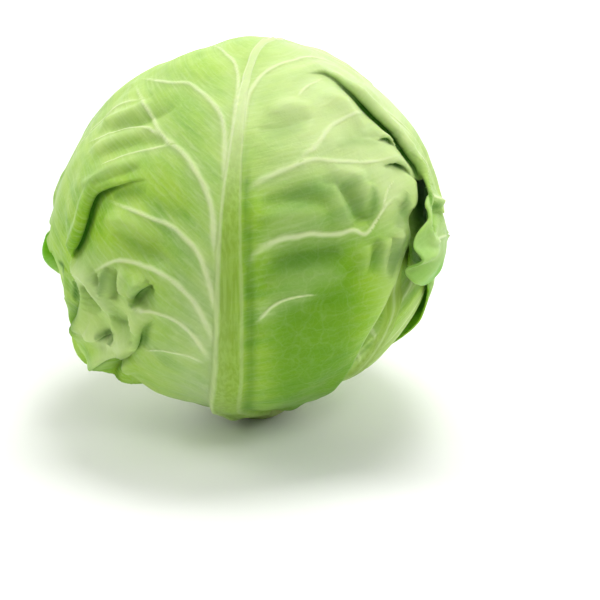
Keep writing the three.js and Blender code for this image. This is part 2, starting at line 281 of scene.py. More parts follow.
def insideRadius(d, beneath):
    steps = sum((covers(leaf, d, head["lapMargin"]) for leaf in beneath), np.zeros(len(d)))
    return heartSurface(d) + head["firstLayer"] + head["layerStep"] * steps


# How far everything beneath the front leaf is drawn in, well within its outline, as room for its creases
def room(d):
    front = leaves[0]
    within = covers(front, d, 0) == 1
    inwards = front["outline"].nearest(d)[0]
    return head["room"] * within * smooth(inwards, head["roomFrom"], head["roomTo"])


# The camera, and what it shows at a pixel of the photograph

def makeCamera():
    camera = bpy.data.objects.new("camera", bpy.data.cameras.new("camera"))
    bpy.context.scene.collection.objects.link(camera)
    bpy.context.scene.camera = camera
    camera.data.lens = view["lens"]
    camera.data.sensor_width = view["sensor"]
    camera.data.clip_end = 50
    tilt = math.radians(view["elevation"])
    out = view["distance"] * np.array([0, -math.cos(tilt), math.sin(tilt)])
    camera.location = Vector((head["centre"] + out) * millimetre)
    focal = view["lens"] / view["sensor"] * view["frame"]
    middle = view["frame"] / 2
    up = math.atan((middle - view["headPixel"][1]) / focal)
    aside = math.atan((middle - view["headPixel"][0]) / focal / math.cos(tilt))
    camera.rotation_euler = Euler((math.pi / 2 - tilt - up, 0, -aside))
    return camera, focal


camera, focal = makeCamera()


# Directions, from the middle of the head, of what shows at pixels of the photograph
def onHead(pixels):
    middle = view["frame"] / 2
    turn = np.array(camera.rotation_euler.to_matrix())
    pixels = np.asarray(pixels, float)
    rays = np.stack([pixels[:, 0] - middle, middle - pixels[:, 1], np.full(len(pixels), -focal)], 1)
    rays = unit(rays @ turn.T)
    start = np.array(camera.location) / millimetre - head["centre"]

    def hit(halfHeight):
        squeeze = 1 / np.array([view["seenRadius"], view["seenRadius"], halfHeight])
        p = start * squeeze
        q = rays * squeeze
        a = np.sum(q * q, axis=1)
        b = q @ p
        inside = np.maximum(b * b - a * (p @ p - 1), 0)
        return start + rays * ((-b - np.sqrt(inside)) / a)[:, None]

    upper = hit(view["seenCrown"])
    lower = hit(view["seenFoot"])
    return unit(np.where(upper[:, 2:] > 0, upper, lower))


# Veins and folds of the front leaf, traced on the photograph in pixels

midribTrace = [(226, 420), (227, 380), (228, 345), (229, 300), (229.5, 230), (232, 180), (237, 130), (243, 90),
               (250, 65), (262, 48), (277, 41)]
# Half width of the vein in millimetres at its start, and its trace
veinTraces = [
    # left of the midrib, from the crown down
    (1.3, [(229, 170), (231, 140), (235, 104), (238, 80), (235, 63), (225, 53), (204, 44)]),
    (1.5, [(224, 200), (224, 170), (224, 146), (222, 118), (212, 101), (198, 87), (187, 80), (162, 79),
           (134, 77)]),
    (1.6, [(220, 285), (217, 262), (214, 240), (212, 216), (207, 194), (196, 172), (182, 152), (162, 135),
           (148, 113), (138, 93), (132, 80)]),
    (1.0, [(162, 135), (142, 124), (123, 125), (103, 134), (83, 143)]),
    (0.8, [(173, 143), (151, 146), (128, 152), (111, 160), (92, 169)]),
    (1.5, [(220, 335), (218, 318), (212, 290), (204, 266), (196, 250), (184, 238), (170, 226), (153, 219),
           (135, 211), (117, 204), (102, 198)]),
    (1.5, [(214, 350), (209, 330), (198, 305), (189, 294), (177, 282), (163, 273), (149, 267), (135, 262),
           (121, 260), (109, 264), (97, 271), (89, 277)]),
    (1.3, [(208, 362), (201, 346), (191, 332), (181, 322), (170, 315), (156, 310), (142, 307), (128, 307)]),
    (0.8, [(203, 366), (189, 356), (170, 351), (156, 349), (142, 352)]),
    # right of the midrib, from the crown down
    (1.4, [(240, 150), (243, 118), (247, 96), (254, 82), (263, 72), (277, 65), (297, 59), (319, 56), (335, 58),
           (352, 68)]),
    (0.8, [(298, 96), (306, 87), (319, 79), (323, 73)]),
    (1.3, [(300, 162), (304, 155), (313, 149), (322, 138), (331, 126), (343, 118), (357, 112), (373, 104)]),
    (1.4, [(246, 190), (261, 179), (276, 173), (291, 167), (303, 162), (316, 159), (337, 160), (360, 160),
           (380, 159), (403, 155)]),
    (1.5, [(250, 264), (255, 254), (269, 245), (284, 239), (299, 237), (313, 234), (328, 235), (343, 234),
           (357, 230), (369, 234), (378, 222), (385, 210), (393, 200), (406, 191)]),
    (0.8, [(385, 210), (388, 194), (393, 184), (398, 178)]),
    (0.9, [(256, 326), (274, 309), (297, 301), (325, 298)]),
]

# Its veins that the photograph doesn't show: half width in millimetres, and [along, across] places on the leaf
turnedVeins = [
    (1.0, [(152, 50), (155, 60), (154, 70), (150, 78)]),
    (0.9, [(128, 58), (132, 66), (133, 74), (130, 82)]),
    (1.1, [(166, 38), (172, 50), (174, 62), (172, 74)]),
    (1.1, [(190, 15), (196, 25), (200, 37), (201, 50)]),
    (1.1, [(199, 12), (205, 2), (208, -10), (209, -22)]),
    (1.1, [(187, 8), (196, -10), (201, -28), (202, -44)]),
    (0.9, [(156, -30), (164, -44), (170, -60), (170, -74)]),
    (0.8, [(104, 60), (106, 67), (107, 74), (104, 80)]),
]

# A fold laps over the leaf beside its trace: roll is the radius of its rounded edge, material the half width
# of the blade in it, reach how far back the lap sinks, taperIn and taperOut the shares of its length over
# which it starts and ends
folds = [
    {
        "trace": [(152, 179), (146, 179.5), (134, 181), (120, 186), (107, 191), (98, 198), (94, 209), (91, 222),
                  (86, 236), (80, 249), (71, 260)],
        "roll": 2.7, "material": 3.6, "reach": 24, "reachBefore": 22, "taperIn": 0.55, "taperOut": 0.12,
        "hollow": 1.2, "lapSide": 1,
    },
    {
        "trace": [(300, 74.5), (305, 73), (314, 71), (324, 70.5), (334, 76), (346, 86), (359, 95), (372, 103),
                  (383, 115), (395, 129), (404, 142), (411, 156), (418, 170), (422, 186), (422, 200),
                  (420, 214)],
        "roll": 2.8, "material": 3.8, "reach": 26, "reachBefore": 22, "taperIn": 0.42, "taperOut": 0.3,
        "hollow": 1.4, "lapSide": -1,
    },
    {
        "trace": [(383, 166), (391, 163.5), (400, 165), (409, 170), (416, 179)],
        "roll": 1.6, "material": 2.2, "reach": 12, "reachBefore": 10, "taperIn": 0.5, "taperOut": 0.45,
        "hollow": 1.2, "lapSide": -1,
    },
    {
        "trace": [(380, 137), (388, 135), (396, 138), (403, 145)],
        "roll": 1.1, "material": 1.6, "reach": 9, "reachBefore": 8, "taperIn": 0.5, "taperOut": 0.35,
        "hollow": 1.4, "lapSide": -1,
    },
    {
        "trace": [(160, 315), (153, 319), (148, 327), (145, 338), (139, 350), (130, 361)],
        "roll": 1.9, "material": 2.6, "reach": 18, "reachBefore": 14, "taperIn": 0.5, "taperOut": 0.35,
        "hollow": 0.8, "lapSide": 1,
    },
    {
        "trace": [(69, 266), (74, 274), (81, 286), (83, 300), (80, 314), (76, 326)],
        "roll": 2.4, "material": 3.0, "reach": 14, "reachBefore": 12, "taperIn": 0.4, "taperOut": 0.35,
        "hollow": 3.2, "lapSide": -1,
    },
    {
        "trace": [(157, 282), (150, 286), (144, 291), (138, 298), (133, 308)],
        "roll": 1.3, "material": 1.9, "reach": 10, "reachBefore": 8, "taperIn": 0.4, "taperOut": 0.4,
        "hollow": 1.4, "lapSide": 1,
    },
    {
        "trace": [(100, 369), (105, 360), (113, 356), (124, 354), (136, 349), (143, 345)],
        "roll": 1.6, "material": 2.2, "reach": 10, "reachBefore": 8, "taperIn": 0.3, "taperOut": 0.4,
        "hollow": 1.6, "lapSide": -1,
    },
    {
        "trace": [(88, 322), (96, 332), (104, 336), (112, 334), (117, 340)],
        "roll": 1.2, "material": 1.8, "reach": 9, "reachBefore": 8, "taperIn": 0.4, "taperOut": 0.3,
        "hollow": 1.4, "lapSide": -1,
    },
]

# Ridges (above 0) and creases (below 0): height and half width in millimetres, trace
wrinkles = [
    (4.4, 3.6, [(70, 262), (78, 269), (89, 276), (97, 290), (108, 305), (118, 314)]),
    (-4.2, 3.0, [(86, 283), (95, 298), (103, 310)]),
    (1.6, 3.4, [(64, 268), (65, 284), (69, 302), (75, 322)]),
    (-4.7, 2.6, [(155, 284), (148, 289), (141, 296), (136, 306)]),
    (3.5, 3.2, [(150, 280), (142, 288), (135, 298)]),
    (2.6, 3.4, [(150, 304), (142, 314), (138, 328)]),
    (3.2, 3.0, [(128, 266), (125, 278), (124, 294)]),
    (-3.5, 3.0, [(118, 267), (116, 280), (116, 300)]),
    (3.2, 3.0, [(109, 269), (106, 282), (107, 296)]),
    (-3.2, 3.0, [(101, 273), (98, 284)]),
    (4.2, 5.0, [(80, 318), (94, 330), (108, 336), (124, 340), (140, 338)]),
    (-3.9, 4.0, [(112, 316), (124, 322), (136, 318)]),
    (-3.9, 2.6, [(106, 331), (113, 333), (117, 340)]),
    (4.5, 3.0, [(100, 366), (106, 357), (114, 352), (126, 350), (139, 346)]),
    (-4.7, 2.4, [(112, 360), (122, 356), (134, 352)]),
    (-4.2, 2.4, [(117, 382), (115, 370), (120, 361)]),
    (3.9, 2.6, [(127, 374), (125, 364), (122, 357)]),
    (3.2, 4.0, [(76, 330), (86, 346), (98, 360)]),
    (-4.2, 6.0, [(345, 178), (354, 196), (366, 222)]),
    (3.4, 4.5, [(335, 182), (344, 204), (356, 226)]),
    (3.2, 4.0, [(372, 180), (366, 196), (364, 214)]),
    (3.2, 2.8, [(390, 238), (388, 256), (384, 278)]),
    (-3.2, 2.6, [(382, 240), (379, 258), (374, 276)]),
    (2.4, 2.6, [(372, 244), (370, 260), (364, 278)]),
    (-2.7, 3.0, [(404, 200), (402, 216), (400, 236)]),
    (2.7, 4.0, [(150, 96), (136, 106), (122, 114), (100, 122)]),
    (-2.7, 4.0, [(170, 104), (150, 110), (132, 119), (108, 128)]),
    (2.4, 4.0, [(150, 124), (128, 130), (108, 140), (90, 148)]),
    (-2.2, 3.4, [(165, 140), (140, 138), (116, 146), (96, 156)]),
    (2.2, 3.4, [(140, 158), (120, 166), (100, 178), (84, 186)]),
    (-2.2, 3.4, [(140, 166), (118, 176), (98, 188)]),
    (2.7, 5.0, [(106, 214), (130, 226), (152, 242)]),
    (-2.7, 5.0, [(116, 232), (140, 244), (168, 262)]),
    (-2.7, 5.0, [(262, 204), (296, 198), (330, 204)]),
    (2.7, 5.0, [(262, 218), (296, 216), (330, 216)]),
    (-3.2, 5.0, [(266, 264), (300, 256), (344, 250)]),
    (2.5, 5.0, [(266, 284), (300, 278), (350, 276)]),
    (2.7, 5.0, [(322, 96), (346, 104), (366, 122)]),
    (2.1, 4.0, [(268, 110), (292, 104), (312, 108)]),
    (-2.2, 4.0, [(256, 128), (286, 124), (310, 116)]),
    (-2.1, 4.0, [(340, 140), (362, 132), (386, 132)]),
    (3.0, 2.4, [(446, 198), (438, 202), (430, 204)]),
    (-4.0, 2.4, [(440, 212), (431, 211), (427, 222), (428, 234)]),
    (2.8, 2.4, [(420, 228), (424, 238), (434, 242)]),
    (2.6, 1.8, [(402, 212), (402, 230), (397, 252), (391, 270)]),
    (-3.2, 1.6, [(396, 236), (392, 256), (387, 276)]),
    (-2.6, 3.2, [(320, 178), (342, 186), (362, 206), (368, 222)]),
    (2.2, 3.0, [(330, 166), (352, 172), (372, 176)]),
]

# Broad swells, without a colour of their own: height and half width in millimetres, trace
swells = [
    (5.2, 15.0, [(82, 322), (94, 345), (110, 368), (134, 388)]),
    (-1.6, 12.0, [(54, 250), (57, 275), (64, 300)]),
    (-1.5, 14.0, [(60, 180), (75, 145), (98, 112), (130, 82)]),
]

# Deep places that hardly any light reaches: how dark, half width in millimetres, trace
shades = [
    (1.0, 3.4, [(70, 268), (76, 280), (80, 296), (80, 310), (77, 326)]),
    (0.7, 1.8, [(152, 285), (145, 291), (139, 297), (134, 306)]),
    (0.7, 1.8, [(156, 318), (151, 324), (148, 334), (142, 348)]),
    (0.55, 2.2, [(110, 266), (107, 280), (106, 294)]),
    (0.4, 2.0, [(120, 268), (118, 284), (118, 298)]),
    (0.9, 1.4, [(57, 262), (62, 267), (61, 276)]),
    (0.9, 2.2, [(70, 280), (74, 290), (73, 302)]),
    (0.8, 1.8, [(440, 208), (431, 208), (427, 220), (428, 232)]),
    (0.7, 1.6, [(421, 190), (423, 200), (421, 212)]),
    (0.7, 1.8, [(104, 332), (112, 332), (117, 341)]),
    (0.8, 2.0, [(118, 384), (116, 370), (121, 360)]),
    (0.55, 2.0, [(122, 355), (132, 351), (142, 346)]),
    (0.6, 3.0, [(372, 182), (377, 196), (376, 212), (371, 226)]),
    (0.35, 5.0, [(262, 206), (290, 196), (320, 192), (350, 198)]),
    (0.4, 5.0, [(262, 272), (290, 264), (320, 258), (352, 254)]),
    (0.3, 4.0, [(262, 132), (284, 130), (308, 122)]),
    (0.35, 3.0, [(338, 146), (360, 138), (384, 138)]),
    (0.6, 2.0, [(408, 190), (406, 206), (404, 226)]),
    (0.6, 2.2, [(400, 236), (396, 256), (390, 280)]),
    (0.5, 2.0, [(383, 236), (380, 256), (375, 276)]),
    (0.5, 3.0, [(110, 196), (124, 192), (146, 190)]),
    (0.4, 3.0, [(122, 164), (104, 176), (88, 192)]),
    (0.35, 3.0, [(160, 108), (136, 118), (110, 130)]),
    (0.35, 4.0, [(120, 236), (140, 246), (164, 262)]),
]


# Mesh making

def flatGrid(columns, rows):
    mesh = bmesh.new()
    bmesh.ops.create_grid(mesh, x_segments=columns, y_segments=rows, size=1)
    return mesh


# Where the points of a leaf's grid lie: -1 to 1 sideways, 0 to 1 lengthways
def gridPlaces(mesh):
    mesh.verts.ensure_lookup_table()
    places = np.array([v.co[:2] for v in mesh.verts])
    return places[:, 0], (places[:, 1] + 1) / 2


# The angle along a leaf at which its foot stands close round the stalk
def baseAlong(across):
    share = stalkClearance / (head["halfHeight"] - head["dimple"])
    side = np.sin(np.radians(across))
    forward = np.sqrt(np.maximum(share**2 - side**2, 0))
    return np.degrees(np.arcsin(forward / np.cos(np.radians(across))))


def bladeAngles(leaf, sideways, lengthways):
    atBase = np.where(sideways < 0, -leaf["left"][0][1], leaf["right"][0][1]) * sideways
    tip = leaf["tip"] - leaf["tipRound"] * sideways**2
    base = baseAlong(atBase)
    along = base + (tip - base) * lengthways
    middle = midribAcross(leaf, along)
    edge = np.where(sideways < 0, curveThrough(leaf["left"], along), curveThrough(leaf["right"], along))
    wander = 1 + leaf["wander"] * np.sin(np.radians(along) * 4.2 + leaf["azimuth"])
    across = middle + (edge * wander - middle) * np.abs(sideways)
    fromEdge = (1 - np.abs(sideways)) * np.abs(edge - middle)
    return along, across, np.minimum(fromEdge, tip - along)


def subdivideWhere(mesh, fine):
    edges = [edge for edge in mesh.edges if fine[edge.verts[0].index] and fine[edge.verts[1].index]]
    bmesh.ops.subdivide_edges(mesh, edges=edges, cuts=1, use_grid_fill=True)
    mesh.verts.index_update()


def setPlaces(mesh, places):
    for vertex, place in zip(mesh.verts, places * millimetre):
        vertex.co = place


def objectFrom(mesh, name):
    data = bpy.data.meshes.new(name)
    mesh.to_mesh(data)
    mesh.free()
    for polygon in data.polygons:
        polygon.use_smooth = True
    made = bpy.data.objects.new(name, data)
    bpy.context.scene.collection.objects.link(made)
    return made


# A piece of the head. A leaf also gets its thickness, in millimetres at each point and at most the greatest.
def pieceFrom(mesh, name, greatest=None, thick=None):
    piece = objectFrom(mesh, name)
    if greatest:
        solid = piece.modifiers.new("thickness", "SOLIDIFY")
        solid.thickness = greatest * millimetre
        solid.offset = -1
        solid.use_even_offset = False
        solid.use_rim = True
        held = piece.vertex_groups.new(name="thickness")
        for k, share in enumerate(np.clip(thick / greatest, 0, 1)):
            held.add([k], float(share), "REPLACE")
        solid.vertex_group = held.name
    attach(piece, "root")
    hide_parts(name)
    return piece


# Lengths in millimetres along and across the side veins, which the fine streaks of a leaf follow; the streaks
# left of the midrib are kept apart from those right of it
def addFlow(piece, d, fromRib, leftSteep, rightSteep, apart=40):
    up = np.arcsin(np.clip(d[:, 2], -1, 1)) * head["outerRadius"]
    steep = np.where(fromRib < 0, leftSteep, rightSteep)
    level = np.sqrt(1 - steep**2)
    outwards = np.abs(fromRib)
    flow = [outwards * level + up * steep, up * level - outwards * steep, np.sign(fromRib) * apart]
    made = piece.data.attributes.new("flow", "FLOAT_VECTOR", "POINT")
    made.data.foreach_set("vector", np.stack(flow, axis=1).astype(np.float32).ravel())


def addMasks(piece, masks):
    for name, values in masks.items():
        made = piece.data.attributes.new(name, "FLOAT", "POINT")
        made.data.foreach_set("value", np.asarray(values, np.float32))


# Veins, ribs and folds

veinShape = {
    "endShare": 0.42,  # of its first width that a vein keeps to its end
    "height": 0.8,  # for each millimetre of half width
    "haloWidth": 5.0,
    "farAway": 40.0,
}


# Collects the nearest vein to every point of a leaf: how far to its side, its half width and how far it shows
class VeinField:
    def __init__(self, directions):
        self.d = directions
        count = len(directions)
        self.distance = np.full(count, veinShape["farAway"])
        self.half = np.full(count, 1.0)
        self.shown = np.zeros(count)
        self.height = np.zeros(count)
        self.halo = np.zeros(count)

    def add(self, line, halfWidth):
        distance, _, share, _ = line.nearest(self.d)
        half = halfWidth * (1 - (1 - veinShape["endShare"]) * share)
        shown = smooth(share, -0.04, 0.2) * (1 - smooth(share, 0.75, 1.0))
        closer = distance < self.distance
        self.distance = np.where(closer, distance, self.distance)
        self.half = np.where(closer, half, self.half)
        self.shown = np.where(closer, shown, self.shown)
        spread = np.maximum(1.5 * half, 1.3)
        ridge = np.exp(-((distance / spread) ** 2)) * veinShape["height"] * half * shown
        self.height = np.maximum(self.height, ridge)
        haloWidth = veinShape["haloWidth"] * (0.4 + 0.6 * halfWidth)
        near = np.exp(-((distance / haloWidth) ** 2)) * (1 - 0.6 * share) * shown
        self.halo = np.maximum(self.halo, near)

    def masks(self):
        return {
            "veinAway": self.distance, "veinHalf": self.half, "veinShown": self.shown, "veinHalo": self.halo,
        }


# The midrib of the front leaf: a low band with its crest on one side, by how far across it a point lies
def midribProfile(across):
    body = 1 - 0.35 * smooth(across, -0.7, 0.9)
    crest = 0.25 * np.exp(-(((across + 0.72) / 0.2) ** 2))
    return (body + crest) * smooth(across, -1.12, -0.72) * (1 - smooth(across, 0.82, 1.05))


# The midrib of a leaf beneath: an even rounded band
def evenProfile(across):
    x = np.clip(np.abs(across), 0, 1)
    return np.sqrt(np.maximum(1 - x**2.2, 0)) * (1 - smooth(x, 0.75, 1.0))


# A fold: the blade turns back on itself in a crease, rolls over and laps on, slowly sinking to its old height
foldShape = {
    "hook": 1.15,  # radians past level that the rolled edge turns under
    "leastMaterial": 0.3,
    "endFade": 6.0,
    "settle": 8.0,  # millimetres over which the lap comes to lie beside the roll
    "dip": 0.4,
    "hollowWidth": 5.0,
}


def applyFold(d, fold, line):
    distance, side, share, sideways = line.nearest(d)
    side = side * fold["lapSide"]
    sideways = sideways * fold["lapSide"]
    pastEnd = np.sqrt(np.maximum(distance**2 - side**2, 0))
    size = smooth(share, 0, fold["taperIn"]) * (1 - smooth(share, 1 - fold["taperOut"], 1.0))
    size = size * (1 - smooth(pastEnd, 0, foldShape["endFade"]))
    radius = fold["roll"] * size
    half = np.maximum(fold["material"] * size, foldShape["leastMaterial"])
    hook = foldShape["hook"]
    x = side - radius
    turned = np.maximum(np.clip(x / half, -1, 1) * math.pi / 2, -hook)
    onRoll = -radius * (np.cos(turned) - math.cos(hook))
    rise = radius * (np.sin(turned) + math.sin(hook))
    before = half * (1 - smooth(-x, half, half + fold["reachBefore"]))
    after = -half * (1 - smooth(x, half, half + fold["reach"]))
    after = after + radius * math.cos(hook) * (1 - smooth(x, half, half + foldShape["settle"]))
    shift = np.where(x < -half, before, np.where(x > half, after, onRoll - x))
    sink = smooth(x, half, half + fold["reach"])
    dip = foldShape["dip"] * smooth(x, half, half + 7) * (1 - 0.6 * smooth(x, half + 5, half + 13))
    lift = np.where(x < -half, 0, np.where(x > half, rise * (1 - dip) * (1 - sink), rise))
    hollow = -fold["hollow"] * size * np.exp(-(((x + half) / foldShape["hollowWidth"]) ** 2)) * (x < -half)
    # Painted shade along the crease, where the blade turns back under its roll
    paintedShade = size * np.exp(-(((x + half) / (0.5 * half + 0.5)) ** 2))
    return unit(d + sideways * (shift / head["outerRadius"])[:, None]), lift + hollow, paintedShade


# 1 on the middle of a line, falling to 0 beside it and towards its pointed ends
def spindle(d, trace, width, sharpness):
    distance, _, share, _ = Line(onHead(trace)).nearest(d)
    swelling = np.sqrt(np.maximum(4 * share * (1 - share), 0))
    return swelling * np.exp(-((distance / (width * (0.25 + 0.85 * swelling))) ** sharpness))


def nearestOf(lines, d):
    return np.min([line.nearest(d)[0] for line in lines], axis=0)


# The front leaf. It is split into the blade, from the left edge to the slit, and the ruffled lobe beyond the
# slit, which joins it again above the slit's top.
frontShape = {
    "columns": 140,
    "rows": 176,
    "slitFrom": 111,  # column of the blade's edge at the slit
    "slitTo": 114,  # column of the lobe's edge
    "slitWidth": 1.6,
    "edgeGap": 1.2,
    "apex": 137,  # degrees along the leaf at which the slit ends
    "foot": 80,  # and at which the lobe starts
    "reach": [(76, 84), (100, 86), (130, 84.5), (150, 79), (168, 82), (190, 74), (212, 58)],
    "edgeWaves": 0.9,
    "lobeRound": 0.28,
    # along the lobe's free edge: how far it lifts, and how far it is drawn to the right
    "lobeLift": [
        (60, 1), (74, 3), (82, 3.5), (89, 6.5), (93.5, 0.5), (98, 7.5), (104, 3.5), (113, 5), (125, 4),
        (140, 0),
    ],
    "lobeAside": [
        (60, 3), (76, 0), (84, -1), (89, -3), (93.5, 1), (98, 4), (104, -1), (113, -2), (128, -1),
        (140, 0),
    ],
    "ribHalfWidths": [(10, 9.0), (40, 7.8), (75, 6.5), (108, 5.0), (140, 2.4), (180, 1.5), (212, 0.8)],
    "ribHeights": [(10, 4.4), (40, 3.0), (75, 2.0), (108, 1.6), (149, 1.3), (180, 1.0), (212, 0.3)],
    "bladeThickness": 0.9,
    "greatestThickness": 7.0,
    "fineBesideFold": 8.0,
    "fineBesideVein": 2.0,
    "crumpled": (106, 312),  # pixel in the middle of the crumples
    "crumpledReach": 25.0,
    "lumps": [(1.9, 34, 3), (0.9, 15, 4), (0.22, 5.5, 5)],  # height, size and seed of each kind
    "creaseSharpness": 1.2,
    "ridgeSharpness": 1.6,
    "swellSharpness": 2.0,
    "reliefShading": 0.1,  # how much painted shade a crease and painted highlight a ridge get for each millimetre of its depth or height
    "quilt": 0.7,  # how far the blade stands up between its veins
    "quiltWidth": 9,
    "marginWaves": 0.9,
    "margin": 9,
    "flare": 1.0,
    "flareAt": 92,
    "flareWidth": 24,
    "streaksSteep": (0.62, 0.2),  # left and right of the midrib
    "seat": 1.1,  # from what lies beneath to the middle of the blade
    "leastSeat": 0.9,
}
# Where its colours change: from and to, in degrees along it or across it
frontRegions = {
    "crown": (106, 150),
    "pale": (106, 140),
    "paleAcross": (-15, 25),
    "paleLobeAcross": (36, 48),
    "greenLobe": (100, 136),
    "greenLobeAcross": (38, 62),
    "ribShadeEnds": (110, 140),
    "bloomEnds": (40, 150),
    "lowAcross": (2, 14),
    "lowEnds": (98, 134),
    "lowEndsAcross": (28, 42),
    "glowEnds": (82, 93),
}
slitStart, slitEnd = (2 * frontShape[side] / frontShape["columns"] - 1 for side in ("slitFrom", "slitTo"))


def frontPlaces(t, s):
    leaf = leaves[0]
    apex = frontShape["apex"]
    sideways = np.where(t < 0, t, np.minimum(t / slitStart, 1))
    along, across, fromEdge = bladeAngles(leaf, sideways, s)
    right = curveThrough(leaf["right"], along)
    opening = 1 - smooth(along, apex - 10, apex + 25)
    slit = frontShape["slitWidth"] * opening + frontShape["edgeGap"]
    slitShare = np.clip((t - slitStart) / (slitEnd - slitStart), 0, 1)
    lobeShare = np.clip((t - slitEnd) / (1 - slitEnd), 0, 1)
    turn = np.radians(along)
    edge = curveThrough(frontShape["reach"], along)
    edge = edge + frontShape["edgeWaves"] * (np.sin(turn * 13) + 0.3 * np.sin(turn * 29))
    span = edge - right - slit
    across = np.where(t > slitStart, right + slit * slitShare + span * lobeShare, across)
    onLobe = t >= slitEnd - 1e-6
    below = np.maximum(apex - along, 0)
    along = np.where(onLobe, along + below * frontShape["lobeRound"] * (2 * lobeShare - 1) ** 2, along)
    joined = 90 * smooth(along, apex - 4, apex + 10)
    fromEdge = np.where(onLobe, lobeShare * span + joined, np.where(t > 0, fromEdge + joined, fromEdge))
    return along, across, fromEdge, lobeShare, onLobe


def fromCrumples(d):
    return np.linalg.norm(d - onHead([frontShape["crumpled"]]), axis=1) * head["outerRadius"]


# The grid of the front leaf, without the slit and what is below the lobe, and finer where it is creased
def frontGrid(foldLines, veinLines):
    leaf = leaves[0]
    apex = frontShape["apex"]
    mesh = flatGrid(frontShape["columns"], frontShape["rows"])
    mesh.faces.ensure_lookup_table()
    centres = np.array([face.calc_center_median()[:2] for face in mesh.faces])
    alongs = bladeAngles(leaf, np.ones(len(centres)), (centres[:, 1] + 1) / 2)[0]
    inSlit = (centres[:, 0] > slitStart) & (centres[:, 0] < slitEnd) & (alongs < apex)
    belowLobe = (centres[:, 0] > slitStart) & (alongs < frontShape["foot"])
    gone = [face for face, out in zip(mesh.faces, inSlit | belowLobe) if out]
    bmesh.ops.delete(mesh, geom=gone, context="FACES")
    along, across, _, lobeShare, onLobe = frontPlaces(*gridPlaces(mesh))
    d = leafDirection(leaf["azimuth"], along, across)
    fine = nearestOf(foldLines, d) < frontShape["fineBesideFold"]
    fine |= nearestOf(veinLines, d) < frontShape["fineBesideVein"]
    fine |= onLobe & (along < apex + 8) & (lobeShare < 0.6)
    fine |= fromCrumples(d) < frontShape["crumpledReach"]
    subdivideWhere(mesh, fine)
    return mesh


# Everything that lifts or lowers the blade of the front leaf, and the painted shade of its folds, creases and
# deep places and the painted highlight of its ridges, which grow with how deep or high the creases and ridges
# are
def frontCreases(d, foldLines):
    lift = np.zeros(len(d))
    paintedShade = np.zeros(len(d))
    ridge = np.zeros(len(d))
    for fold, line in zip(folds, foldLines):
        d, more, deepShade = applyFold(d, fold, line)
        lift += more
        paintedShade = np.maximum(paintedShade, deepShade)
    for height, width, trace in wrinkles:
        sharpness = frontShape["creaseSharpness" if height < 0 else "ridgeSharpness"]
        wrinkle = spindle(d, trace, width, sharpness)
        lift += height * wrinkle
        # Creases get painted shade and ridges painted highlight, in step with their depth and height
        paintedShade = np.maximum(paintedShade, max(-height, 0) * frontShape["reliefShading"] * wrinkle)
        ridge = np.maximum(ridge, max(height, 0) * frontShape["reliefShading"] * wrinkle)
    for height, width, trace in swells:
        lift += height * spindle(d, trace, width, frontShape["swellSharpness"])
    # The deep places get painted shade too
    for strength, width, trace in shades:
        paintedShade = np.maximum(paintedShade, strength * spindle(d, trace, width, frontShape["swellSharpness"]))
    return d, lift, paintedShade, ridge


def midribOfFront():
    azimuth = leaves[0]["azimuth"]
    seen = onHead(midribTrace)
    along, across = leafAngles(azimuth, seen[-1:])
    foot = leafDirection(azimuth, np.array([12.0]), np.array([1.0]))
    beyond = leafDirection(azimuth, along + np.array([14, 32]), across + np.array([1.5, 2.0]))
    return Line(np.vstack([foot, seen, beyond]))


